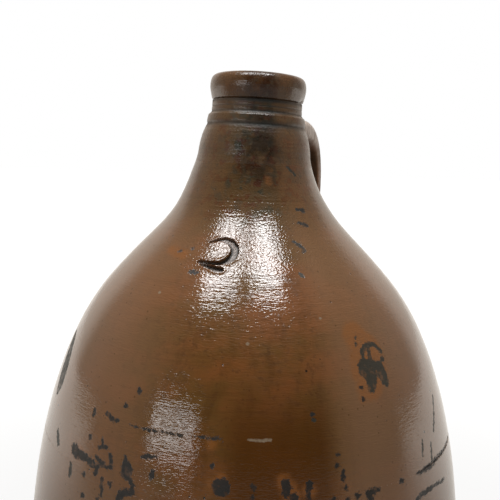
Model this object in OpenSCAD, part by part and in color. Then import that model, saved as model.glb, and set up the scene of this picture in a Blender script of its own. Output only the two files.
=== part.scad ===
// Two-gallon stoneware jug, thrown in sections and luted together, with a pulled strap handle.
// Origin at the centre of the base, +Z up, the front with the capacity mark faces -Y.

/* [Foot and lower body] */
// Radius of the flat base
foot_r = 76; // [65:1:85]
// Height of the bevel round the base
foot_bevel = 3; // [1:0.5:6]
// Lean of the wall where it leaves the base, in degrees from upright
foot_lean = 29; // [5:1:40]
// Thickness of the thrown floor
floor_t = 9; // [6:0.5:14]
// Largest radius of the belly
belly_r = 117.4; // [100:1:135]
// Height of the widest point above the base
belly_z = 110; // [95:1:140]

/* [Shoulder] */
// Radius where the shoulder turns in to the neck
shoulder_r = 75.6; // [65:0.1:85]
// Height of that turn above the widest point
shoulder_rise = 143.8; // [125:0.1:160]
// Steepness of the wall at that turn, in degrees
shoulder_slope = 49; // [35:1:60]
// Wall thickness of both body sections
wall = 7; // [5:0.1:9]
// Height of the joint between the two thrown sections
seam_z = 175.6; // [155:0.1:205]

/* [Neck] */
// Outer radius at the joint between shoulder and neck
neck_r = 31.4; // [29:0.1:36]
// Height of that joint above the shoulder's turn
neck_rise = 60.4; // [50:0.1:75]
// Lean of the wall at that joint, in degrees from upright
neck_slope = 17.9; // [8:0.1:25]
// Lean of the whole neck towards the right, in degrees
neck_tilt = 2; // [0:0.1:3]
// Radius where the turned collar starts
collar_foot_r = 26.6; // [25:0.1:29]
// Radius of the collar under the lip
collar_top_r = 24.3; // [23:0.1:26]
// Height of the lower groove above the neck's joint
low_groove_z = 20.2; // [18:0.1:23]
// Height of the upper groove above the neck's joint
high_groove_z = 26.1; // [24.5:0.1:27.5]
// Height of the fine groove above the neck's joint
fine_groove_z = 29.4; // [29:0.1:30.5]
// Width of a turned groove
groove_w = 1.3; // [0.8:0.1:2]
// Depth of the two main grooves
groove_depth = 0.7; // [0.3:0.1:1.2]
// Depth of the fine groove
fine_groove_depth = 0.25; // [0.1:0.05:0.5]
// How far the bead between the main grooves stands out
bead_bulge = 0.2; // [0.1:0.05:0.8]

/* [Lip and mouth] */
// Height of the lip's underside above the neck's joint
lip_z = 33; // [32.5:0.1:38]
// Height of the lip
lip_h = 13.6; // [10:0.1:16]
// Radius of the lip at its underside
lip_foot_r = 24.6; // [24:0.1:26]
// Largest radius of the lip
lip_r = 25.6; // [24.8:0.1:28]
// Rounding of the lip's outer edge
lip_round = 3.6; // [2:0.1:5]
// Rounding of the mouth's edge
mouth_round = 4.5; // [2:0.1:5]
// Depth of the undercut below the lip
undercut = 0.5; // [0.2:0.1:1]
// Radius of the stopper's bore
mouth_r = 13.5; // [11:0.1:15]
// Height above the neck's joint where the bore widens into the neck
throat_z = 20; // [14:0.1:24]

/* [Joints] */
// Height of the tongue that centres one section on the other
tongue_h = 3; // [1.5:0.1:5]
// Thickness of the layer of luting clay in a joint
lute_t = 1; // [0.6:0.1:1.4]
// Clearance round a tongue
joint_gap = 0.3; // [0.1:0.05:0.5]

/* [Handle] */
// Turn of the handle about the jug's axis, in degrees from the right-hand side
handle_turn = 65; // [0:1:180]
// Height above the neck's joint where the strap leaves its root
handle_z = 19.8; // [16:0.1:21]
// Upward angle of the strap at its root, in degrees
handle_rise = 14; // [0:1:25]
// Distance from the jug's axis to the middle of the strap's upright part
handle_reach = 69.8; // [62:0.1:75]
// Drop from the strap's root to its upright part
handle_drop = 38; // [28:0.1:42]
// Width of the strap at its root
strap_top_w = 30; // [24:0.5:34]
// Width of the strap at its lower end
strap_end_w = 25; // [20:0.5:30]
// Thickness of the strap at its root
strap_top_t = 12.5; // [9:0.5:14]
// Thickness of the strap at its lower end
strap_end_t = 9; // [7:0.5:12]
// Depth of the finger channel along the strap's back
channel_depth = 1.2; // [0.4:0.1:2]
// Reach of the root from the neck's wall
root_len = 7; // [4:0.5:10]
// Spread of the clay where the root meets the neck
root_spread = 4; // [1:0.5:6]
// Distance of the strap's end from the shoulder, along its own line
terminal_len = 9; // [6:0.5:12]
// Spread of the clay where the terminal meets the shoulder
terminal_spread = 5; // [1:0.5:7]
// Angle of the strap's lower end, in degrees below level
handle_fall = 66; // [50:1:80]

/* [Hidden] */
$fn = 128;
over = 1;
curve_steps = 12;
arc_steps = 6;
ring_steps = 30;
section_points = 24;
// Roundness of the strap's section, from 2 for an ellipse upwards
strap_power = 2.8;
// Shares of the height between base and belly that the wall keeps its lean, then runs upright
foot_pull_share = 0.28;
belly_drop_share = 0.37;
// Share of the height between belly and shoulder that the wall runs upright
belly_lift_share = 0.125;
// Shares of the way out to the belly and in to the neck that the shoulder keeps its slope
shoulder_pull_share = 0.88;
flare_pull_share = 0.6;
// Share of the height between shoulder and neck that the flare keeps the neck's lean
neck_pull_share = 0.507;
// Share of the flare's curve at which the strap lands on the shoulder
landing_share = 0.2;
// Shares of the strap's own bends
root_pull_share = 0.62;
crown_pull_share = 0.84;
grip_pull_share = 0.38;
end_pull_share = 0.3;
// Share of the strap's width that the finger channel takes
channel_share = 0.55;
// Share of the lip's height where it is widest
lip_widest_share = 0.5;
// Share of the throat's height that keeps the bore's radius or the neck's
throat_share = 0.45;

shoulder_z = belly_z + shoulder_rise;
neck_z = shoulder_z + neck_rise;
lip_top = lip_z + lip_h;
stub_h = tongue_h + over + groove_w;

function lean_from_level(a) = [cos(a), sin(a)];
function lean_from_upright(a) = [sin(a), cos(a)];
function rise_at_lean(rise, a) = rise * [tan(a), 1];
function run_at_slope(run, a) = run * [1, -tan(a)];
function unit(v) = v / norm(v);
function bezier(p, t) = pow(1 - t, 3) * p[0] + 3 * pow(1 - t, 2) * t * p[1]
    + 3 * (1 - t) * pow(t, 2) * p[2] + pow(t, 3) * p[3];
function heading(p, t) = unit(pow(1 - t, 2) * (p[1] - p[0]) + 2 * (1 - t) * t * (p[2] - p[1])
    + pow(t, 2) * (p[3] - p[2]));
function inward(p, t) = let(h = heading(p, t)) [-h[1], h[0]];
function arc(centre, r, from, to) = [for (i = [0 : arc_steps])
    centre + r * lean_from_level(from + (to - from) * i / arc_steps)];

// The body's outline in three curves: foot to belly, belly to shoulder, shoulder to neck
shoulder_point = [shoulder_r, shoulder_z];
foot_rise = belly_z - foot_bevel;
foot_curve = [[foot_r, foot_bevel],
    [foot_r, foot_bevel] + rise_at_lean(foot_rise * foot_pull_share, foot_lean),
    [belly_r, belly_z - foot_rise * belly_drop_share], [belly_r, belly_z]];
belly_curve = [[belly_r, belly_z], [belly_r, belly_z + shoulder_rise * belly_lift_share],
    shoulder_point + run_at_slope((belly_r - shoulder_r) * shoulder_pull_share, shoulder_slope),
    shoulder_point];
flare_curve = [shoulder_point,
    shoulder_point - run_at_slope((shoulder_r - neck_r) * flare_pull_share, shoulder_slope),
    [neck_r, neck_z] - rise_at_lean(neck_rise * neck_pull_share, -neck_slope), [neck_r, neck_z]];

function side(p, depth) = [for (i = [1 : curve_steps])
    let(t = i / curve_steps) bezier(p, t) + depth * inward(p, t)];
function body_side(depth) = concat(side(foot_curve, depth), side(belly_curve, depth),
    side(flare_curve, depth));
function stub_end(depth) = bezier(flare_curve, 1) + depth * inward(flare_curve, 1)
    + stub_h * lean_from_upright(-neck_slope);

foot_edge = [foot_r - foot_bevel / 2, 0];
outer_side = concat([[0, 0], foot_edge, foot_curve[0]], body_side(0), [stub_end(0)]);
floor_edge = [for (p = body_side(wall)) if (p[1] > floor_t) p][0];
inner_side = concat([[0, floor_t], [floor_edge[0] - wall, floor_t]],
    [for (p = body_side(wall)) if (p[1] > floor_t) p], [stub_end(wall)]);

// Beyond this radius there is nothing to cut
reach_r = max([for (p = outer_side) p[0]]) + over;

// Radius of the middle of the wall at the two joints
function nearest(points, z) = [for (i = [1 : len(points) - 1])
    if (points[i - 1][1] <= z && points[i][1] > z)
    let(a = points[i - 1], b = points[i]) a[0] + (b[0] - a[0]) * (z - a[1]) / (b[1] - a[1])][0];
seam_mid_r = (nearest(outer_side, seam_z) + nearest(inner_side, seam_z)) / 2;
neck_in_r = neck_r - wall;
neck_mid_r = (neck_r + neck_in_r) / 2;

// The neck's outline in its own frame, whose zero is the joint with the shoulder
function collar_at(z) = collar_foot_r
    + (collar_top_r - collar_foot_r) * (z - low_groove_z) / (lip_z - low_groove_z);
function groove(z, depth) = [[collar_at(z - groove_w / 2), z - groove_w / 2],
    [collar_at(z) - depth, z], [collar_at(z + groove_w / 2), z + groove_w / 2]];
neck_side_curve = [[neck_r, 0], [neck_r, 0] + low_groove_z / 3 * lean_from_upright(-neck_slope),
    [collar_at(0), low_groove_z / 2], [collar_at(low_groove_z - groove_w), low_groove_z - groove_w]];
bead_z = (low_groove_z + high_groove_z) / 2;
bead = [[collar_at(bead_z) + bead_bulge, bead_z]];
lip_widest_z = lip_z + lip_h * lip_widest_share;
lip_side = concat([[collar_top_r - undercut, lip_z], [lip_foot_r, lip_z + undercut],
    [lip_r, lip_widest_z]], arc([lip_r - lip_round, lip_top - lip_round], lip_round, 0, 90),
    arc([mouth_r + mouth_round, lip_top - mouth_round], mouth_round, 90, 180));
throat_curve = [[mouth_r, throat_z], [mouth_r, throat_z * (1 - throat_share)],
    [neck_in_r, throat_z * throat_share], [neck_in_r, 0]];
neck_side = concat([[neck_r, 0]], side(neck_side_curve, 0), groove(low_groove_z, groove_depth), bead,
    groove(high_groove_z, groove_depth), groove(fine_groove_z, fine_groove_depth), lip_side);
neck_inside = concat([[mouth_r, throat_z]], side(throat_curve, 0));

// The strap's middle line in the plane of the handle: distance from the axis, height
root_face = [collar_at(handle_z) + root_len, neck_z + handle_z];
grip_point = [handle_reach, root_face[1] - handle_drop];
landing = bezier(flare_curve, landing_share);
strap_end = landing + terminal_len * lean_from_level(handle_fall);
crown_run = grip_point[0] - root_face[0];
grip_run = grip_point[1] - strap_end[1];
crown_curve = [root_face, root_face + crown_run * root_pull_share * lean_from_level(handle_rise),
    grip_point + [0, handle_drop * crown_pull_share], grip_point];
grip_curve = [grip_point, grip_point - [0, grip_run * grip_pull_share],
    strap_end + grip_run * end_pull_share * lean_from_level(handle_fall), strap_end];

function strap_place(u) = u < 1 ? bezier(crown_curve, u) : bezier(grip_curve, u - 1);
function strap_heading(u) = u < 1 ? heading(crown_curve, u) : heading(grip_curve, u - 1);
function power_cos(a) = sign(cos(a)) * pow(abs(cos(a)), 2 / strap_power);
function power_sin(a) = sign(sin(a)) * pow(abs(sin(a)), 2 / strap_power);
function channel(x) = abs(x) < channel_share ? pow(cos(90 * x / channel_share), 2) : 0;
// One section of the strap: across its width, then out from the jug
function strap_section(w, t) = [for (i = [0 : section_points - 1])
    let(a = 360 * i / section_points, x = power_cos(a), y = power_sin(a))
    [x * w / 2, y * t / 2 - (y > 0 ? channel_depth * channel(x) : 0)]];
function strap_ring(u) = let(at = strap_place(u), go = strap_heading(u), s = u / 2,
    w = strap_top_w + (strap_end_w - strap_top_w) * s, t = strap_top_t + (strap_end_t - strap_top_t) * s)
    [for (p = strap_section(w, t)) [at[0] - p[1] * go[1], -p[0], at[1] + p[1] * go[0]]];

module leaned() {
    translate([0, 0, neck_z]) rotate([0, neck_tilt, 0]) children();
}

module handle_plane() {
    rotate([0, 0, handle_turn]) children();
}

module body_shell() {
    rotate_extrude() polygon(concat(outer_side, [for (i = [len(inner_side) - 1 : -1 : 0]) inner_side[i]]));
}

module body_mass() {
    rotate_extrude() polygon(concat(outer_side, [[0, stub_end(0)[1]]]));
}

module neck_mass() {
    leaned() rotate_extrude() polygon(concat([[0, 0]], neck_side, [[0, lip_top - mouth_round]]));
}

// All that lies above the joint between the two sections, apart from the tongue
module above_seam() {
    difference() {
        translate([0, 0, seam_z]) cylinder(r = reach_r, h = neck_z);
        translate([0, 0, seam_z - over]) cylinder(r = seam_mid_r, h = tongue_h + over);
    }
}

// All that lies below that joint, with the luting clay and the tongue's clearance
module below_seam() {
    translate([0, 0, -over]) cylinder(r = reach_r, h = seam_z + lute_t + over);
    translate([0, 0, -over]) cylinder(r = seam_mid_r + joint_gap, h = seam_z + tongue_h + over);
}

module above_neck_joint() {
    leaned() difference() {
        cylinder(r = reach_r, h = neck_z);
        translate([0, 0, -over]) cylinder(r = neck_mid_r, h = tongue_h + over);
    }
}

module lower_body() {
    color("peru") difference() {
        body_shell();
        above_seam();
    }
}

module upper_body() {
    color("sienna") difference() {
        body_shell();
        below_seam();
        above_neck_joint();
    }
}

module body_luting_ring() {
    color("saddlebrown") intersection() {
        body_shell();
        translate([0, 0, seam_z]) difference() {
            cylinder(r = reach_r, h = lute_t);
            translate([0, 0, -over]) cylinder(r = seam_mid_r + joint_gap, h = lute_t + 2 * over);
        }
    }
}

module neck() {
    color("saddlebrown") leaned() difference() {
        rotate_extrude() polygon(concat(neck_side, neck_inside));
        translate([0, 0, -over]) cylinder(r = neck_r + over, h = lute_t + over);
        translate([0, 0, -over]) cylinder(r = neck_mid_r + joint_gap, h = tongue_h + over);
    }
}

module neck_luting_ring() {
    color("peru") leaned() intersection() {
        rotate_extrude() polygon(concat([[0, 0]], neck_side, [[0, lip_top - mouth_round]]));
        difference() {
            cylinder(r = neck_r + over, h = lute_t);
            translate([0, 0, -over]) cylinder(r = neck_mid_r + joint_gap, h = lute_t + 2 * over);
        }
    }
}

// The pulled strap, swept along its middle line
module handle_strap() {
    rings = [for (i = [0 : ring_steps]) each strap_ring(2 * i / ring_steps)];
    walls = [for (i = [0 : ring_steps - 1], j = [0 : section_points - 1])
        let(a = i * section_points + j, b = i * section_points + (j + 1) % section_points)
        each [[a, b, b + section_points], [a, b + section_points, a + section_points]]];
    first = [for (j = [section_points - 1 : -1 : 0]) j];
    last = [for (j = [0 : section_points - 1]) ring_steps * section_points + j];
    color("chocolate") handle_plane() polyhedron(rings, concat([first], walls, [last]));
}

// A block of clay that carries the strap's section on and spreads by the given width.
// back is 1 where the block runs against the strap's heading and -1 where it runs along it.
module spread_block(at, go, w, t, length, spread, back) {
    angle = atan2(go[1], go[0]);
    translate([at[0], 0, at[1]]) rotate([0, 90 - angle, 0]) rotate([0, 0, -90])
        linear_extrude(length, scale = [1 + 2 * spread / w, 1 + 2 * spread / t], slices = 1, $fn = 0)
            polygon([for (p = strap_section(w, t)) [p[0], back * p[1]]]);
}

module handle_root() {
    color("sienna") difference() {
        handle_plane() spread_block(root_face, -strap_heading(0), strap_top_w, strap_top_t,
            root_len + wall, root_spread, 1);
        neck_mass();
    }
}

module handle_terminal() {
    color("sienna") difference() {
        handle_plane() spread_block(strap_end, strap_heading(2), strap_end_w, strap_end_t,
            terminal_len + strap_end_t + wall, terminal_spread, -1);
        body_mass();
    }
}

lower_body();
upper_body();
body_luting_ring();
neck();
neck_luting_ring();
handle_strap();
handle_root();
handle_terminal();
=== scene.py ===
"""A salt-glazed stoneware crock jug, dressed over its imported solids.

The jug is thrown in two sections with a wall of even thickness, luted together with wet clay, and carries a
thrown neck and a pulled strap handle. Lengths are in millimetres up to the moment a mesh is made.
"""

import logging
import math
from bisect import bisect_left, bisect_right
from dataclasses import dataclass, field
from enum import Enum
from functools import reduce
from typing import Callable, Sequence

import bpy
from mathutils import Matrix, Vector


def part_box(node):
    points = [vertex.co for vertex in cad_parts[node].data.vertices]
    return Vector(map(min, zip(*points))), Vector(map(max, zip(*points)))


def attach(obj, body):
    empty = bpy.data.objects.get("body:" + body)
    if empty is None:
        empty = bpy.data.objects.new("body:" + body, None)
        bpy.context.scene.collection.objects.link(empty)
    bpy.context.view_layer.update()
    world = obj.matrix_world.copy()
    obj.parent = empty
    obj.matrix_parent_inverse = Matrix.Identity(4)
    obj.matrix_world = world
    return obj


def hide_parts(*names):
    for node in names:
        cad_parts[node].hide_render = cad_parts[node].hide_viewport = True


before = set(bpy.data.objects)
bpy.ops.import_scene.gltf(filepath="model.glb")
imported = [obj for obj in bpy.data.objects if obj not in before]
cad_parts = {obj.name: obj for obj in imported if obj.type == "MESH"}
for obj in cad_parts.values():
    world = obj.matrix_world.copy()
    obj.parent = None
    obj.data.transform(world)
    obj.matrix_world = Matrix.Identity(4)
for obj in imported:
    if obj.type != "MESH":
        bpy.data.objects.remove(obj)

MM = 0.001
LOG = logging.getLogger("crock_jug")

Shade = tuple[float, float, float]
Spot = tuple[float, float, float]
Span = tuple[float, float]
Weight = Callable[[Vector, Vector], float]
Material = bpy.types.Material
Outputs = bpy.types.NodeOutputs
Piece = bpy.types.Object
Socket = bpy.types.NodeSocket
Tree = bpy.types.NodeTree
Value = Socket | Shade | float


class Finish(Enum):
    """The names of the material slots for the jug's four finishes."""

    BODY = "body_glaze"
    NECK = "neck_glaze"
    HANDLE = "handle_glaze"
    LUTE = "luting_clay"


class Tone(Enum):
    """The colours that the kiln left on the glaze, as linear light."""

    IRON = (0.005, 0.0065, 0.0055)
    SLATE = (0.018, 0.026, 0.018)
    RUST = (0.390, 0.140, 0.034)
    PALE = (0.420, 0.330, 0.230)

    @property
    def edge(self) -> Shade:
        """How far the mark's edge is torn and how far it fades, in millimetres, and how strong it is.

        Returns:
            The tear, the fade and the strength.
        """
        return {
            Tone.IRON: (4.2, 0.7, 0.95),
            Tone.SLATE: (3.6, 0.7, 0.92),
            Tone.RUST: (10.0, 4.0, 0.62),
            Tone.PALE: (1.5, 0.6, 0.75),
        }[self]


def ease(value: float, low: float, high: float) -> float:
    """Rises smoothly from 0 to 1 as value goes from low to high.

    Args:
        value: the number to ease.
        low: where the result leaves 0.
        high: where the result reaches 1; it may lie below low.

    Returns:
        The eased share.
    """
    share = min(max((value - low) / (high - low), 0.0), 1.0)
    return share * share * (3.0 - 2.0 * share)


def swell(value: float, middle: float, reach: float) -> float:
    """Returns a smooth hump of height 1 at middle that dies away over reach on both sides."""
    return math.exp(-(((value - middle) / reach) ** 2))


@dataclass(frozen=True)
class Bend:
    """One cubic stretch of an outline or of the strap's middle line."""

    start: Vector
    leave: Vector
    arrive: Vector
    end: Vector

    def at(self, share: float) -> Vector:
        """Returns the point at that share of the stretch's own parameter.

        Args:
            share: from 0 at the start to 1 at the end.

        Returns:
            The point.
        """
        rest = 1.0 - share
        return (
            rest**3 * self.start
            + 3.0 * rest**2 * share * self.leave
            + 3.0 * rest * share**2 * self.arrive
            + share**3 * self.end
        )

    @classmethod
    def straight(cls, start: Vector, end: Vector) -> "Bend":
        """Returns a stretch without a bend."""
        return cls(start, start.lerp(end, 0.33), start.lerp(end, 0.67), end)

    def fine(self) -> list[Vector]:
        """Returns the stretch as a finely divided line."""
        return [self.at(i / 400.0) for i in range(401)]

    def spaced(self, step: float) -> list[Vector]:
        """Walks the stretch in even steps.

        Args:
            step: the length of one step, about.

        Returns:
            The points, the first and the last of the stretch among them.
        """
        return even_steps(self.fine(), step)


def even_steps(points: Sequence[Vector], step: float) -> list[Vector]:
    """Resamples a line of points at an even distance.

    Args:
        points: the line, finely divided.
        step: the distance wanted, about.

    Returns:
        The new points, both ends kept.
    """
    lengths = [0.0]
    for before, after in zip(points, points[1:]):
        lengths.append(lengths[-1] + (after - before).length)
    count = max(1, round(lengths[-1] / step))
    result = [points[0].copy()]
    place = 0
    for i in range(1, count):
        wanted = lengths[-1] * i / count
        while lengths[place + 1] < wanted:
            place += 1
        span = lengths[place + 1] - lengths[place]
        share = (wanted - lengths[place]) / span if span > 0.0 else 0.0
        result.append(points[place].lerp(points[place + 1], share))
    result.append(points[-1].copy())
    return result


def offset_inward(points: Sequence[Vector], depth: float) -> list[Vector]:
    """Moves a line of points that climbs the outside of the jug in by the wall's thickness.

    Args:
        points: the outer line, from low to high.
        depth: the wall's thickness.

    Returns:
        The inner line, in the same order.
    """
    inner = []
    for i, point in enumerate(points):
        before = points[max(i - 1, 0)]
        after = points[min(i + 1, len(points) - 1)]
        way = (after - before).normalized()
        inner.append(point + depth * Vector((-way.y, way.x)))
    return inner


def radius_on(points: Sequence[Vector], height: float) -> float:
    """Reads the distance from the axis off a line of points that climbs.

    Args:
        points: the line, as distance from the axis and height.
        height: the height to read at.

    Returns:
        The distance from the axis there, or at the nearer end.
    """
    high = min(max(bisect_right(points, height, key=lambda point: point.y), 1), len(points) - 1)
    a, b = points[high - 1], points[high]
    return a.x + (b.x - a.x) * min(max((height - a.y) / (b.y - a.y), 0.0), 1.0)


def stretch(points: Sequence[Vector], low: float, high: float, step: float) -> list[Vector]:
    """Takes the part of a climbing line between two heights, in even steps.

    Args:
        points: the line, as distance from the axis and height.
        low: the lower height.
        high: the upper height.
        step: the distance between points.

    Returns:
        The points, from low to high.
    """
    part = [Vector((radius_on(points, low), low))]
    part += [p for p in points if low < p.y < high]
    part.append(Vector((radius_on(points, high), high)))
    return even_steps(part, step)


def inside_run(run: Sequence[Spot], x: float, y: float) -> float:
    """Tells how deep a place lies inside a line of round spots that are drawn together.

    Args:
        run: the spots, each as across, up and half the line's width.
        x: the place across.
        y: the place up.

    Returns:
        The depth, below 0 outside the line.
    """
    best = -99.0
    for a, b in zip(run, run[1:] or run):
        run_x, run_y = b[0] - a[0], b[1] - a[1]
        share = ((x - a[0]) * run_x + (y - a[1]) * run_y) / max(run_x**2 + run_y**2, 1e-6)
        share = min(max(share, 0.0), 1.0)
        away = math.hypot(x - a[0] - share * run_x, y - a[1] - share * run_y)
        best = max(best, a[2] + (b[2] - a[2]) * share - away)
    return best


def corners(*places: Span) -> list[Vector]:
    """Turns places of an outline, each as distance from the axis and height, into points."""
    return [Vector(place) for place in places]


def azimuth_of(point: Vector) -> float:
    """Returns a point's degrees round the jug, from the front towards the right."""
    return math.degrees(math.atan2(point.x, -point.y))


def deselect() -> None:
    """Leaves edit mode and deselects every object, since the frame's nodes come in selected."""
    if bpy.context.object and bpy.context.object.mode != "OBJECT":
        bpy.ops.object.mode_set(mode="OBJECT")
    bpy.ops.object.select_all(action="DESELECT")


def only(piece: Piece) -> None:
    """Makes piece the one selected and active object.

    Args:
        piece: the piece to select.
    """
    deselect()
    piece.select_set(True)
    bpy.context.view_layer.objects.active = piece


def editing(piece: Piece, select: str = "SELECT") -> None:
    """Goes into edit mode on piece, with everything selected or deselected.

    Args:
        piece: the piece to edit.
        select: what select_all does to its mesh.
    """
    only(piece)
    bpy.ops.object.mode_set(mode="EDIT")
    bpy.ops.mesh.select_mode(type="VERT")
    bpy.ops.mesh.select_all(action=select)


def thrown(name: str, outline: Sequence[Vector], segments: int) -> Piece:
    """Throws a closed outline round the jug's axis, as on the wheel.

    Args:
        name: the piece's name.
        outline: the closed outline, as distance from the axis and height, which may end on the axis.
        segments: steps in one turn.

    Returns:
        The new piece, closed and with its faces outwards.
    """
    deselect()
    first = outline[0]
    bpy.ops.mesh.primitive_plane_add(size=MM, location=(first.x * MM, 0.0, first.y * MM))
    piece = bpy.context.object
    piece.name = name
    only(piece)
    bpy.ops.object.transform_apply(location=True, rotation=False, scale=False)
    editing(piece)
    bpy.ops.mesh.merge(type="CENTER")
    for before, after in zip(outline, outline[1:]):
        step = (after - before) * MM
        bpy.ops.mesh.extrude_region_move(TRANSFORM_OT_translate={"value": (step.x, 0.0, step.y)})
    if outline[0].x > 0.0 or outline[-1].x > 0.0:
        bpy.ops.object.mode_set(mode="OBJECT")
        last = len(piece.data.vertices) - 1
        for i in (0, last):
            piece.data.vertices[i].select = True
        bpy.ops.object.mode_set(mode="EDIT")
        bpy.ops.mesh.edge_face_add()
    bpy.ops.object.mode_set(mode="OBJECT")
    wheel = piece.modifiers.new("wheel", "SCREW")
    wheel.angle = math.tau
    wheel.steps = segments
    wheel.render_steps = segments
    wheel.use_merge_vertices = True
    wheel.merge_threshold = 0.002 * MM
    bpy.ops.object.modifier_apply(modifier=wheel.name)
    editing(piece)
    bpy.ops.mesh.remove_doubles(threshold=0.002 * MM)
    bpy.ops.mesh.normals_make_consistent(inside=False)
    bpy.ops.object.mode_set(mode="OBJECT")
    return piece


def press(piece: Piece, name: str, depth: float, weight: Weight) -> None:
    """Moves a piece's surface by a weight that is painted in code.

    Args:
        piece: the piece to shape.
        name: the vertex group's name.
        depth: how far a full weight moves the surface out, in millimetres; below 0 it goes in.
        weight: gives the share at a point in millimetres with its normal.
    """
    group = piece.vertex_groups.new(name=name)
    for vertex in piece.data.vertices:
        share = weight(vertex.co / MM, vertex.normal)
        if share > 0.0005:
            group.add([vertex.index], min(share, 1.0), "REPLACE")
    only(piece)
    mover = piece.modifiers.new(name, "DISPLACE")
    mover.vertex_group = group.name
    mover.direction = "NORMAL"
    mover.mid_level = 0.0
    mover.strength = depth * MM
    bpy.ops.object.modifier_apply(modifier=mover.name)
    piece.vertex_groups.remove(piece.vertex_groups[name])


def paint(piece: Piece, name: str, weight: Weight) -> None:
    """Stores a weight that is painted in code as an attribute that a material can read.

    Args:
        piece: the piece to paint.
        name: the attribute's name.
        weight: gives the share at a point in millimetres with its normal.
    """
    layer = piece.data.attributes.new(name, "FLOAT", "POINT")
    for vertex in piece.data.vertices:
        layer.data[vertex.index].value = weight(vertex.co / MM, vertex.normal)


def refine(piece: Piece, wanted: Sequence[bool], cuts: int) -> None:
    """Divides the faces whose corners are all wanted, so that a small form can be pressed or painted there.

    Args:
        piece: the piece to divide.
        wanted: tells of each vertex whether it lies in the field.
        cuts: cuts across each edge.
    """
    editing(piece, "DESELECT")
    bpy.ops.mesh.select_mode(type="FACE")
    bpy.ops.object.mode_set(mode="OBJECT")
    for face in piece.data.polygons:
        face.select = all(wanted[i] for i in face.vertices)
    bpy.ops.object.mode_set(mode="EDIT")
    bpy.ops.mesh.subdivide(number_cuts=cuts)
    bpy.ops.object.mode_set(mode="OBJECT")


def smooth(piece: Piece, degrees: float) -> None:
    """Shades the piece smooth and keeps the edges sharper than that angle."""
    only(piece)
    bpy.ops.object.shade_smooth_by_angle(angle=math.radians(degrees))


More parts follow.
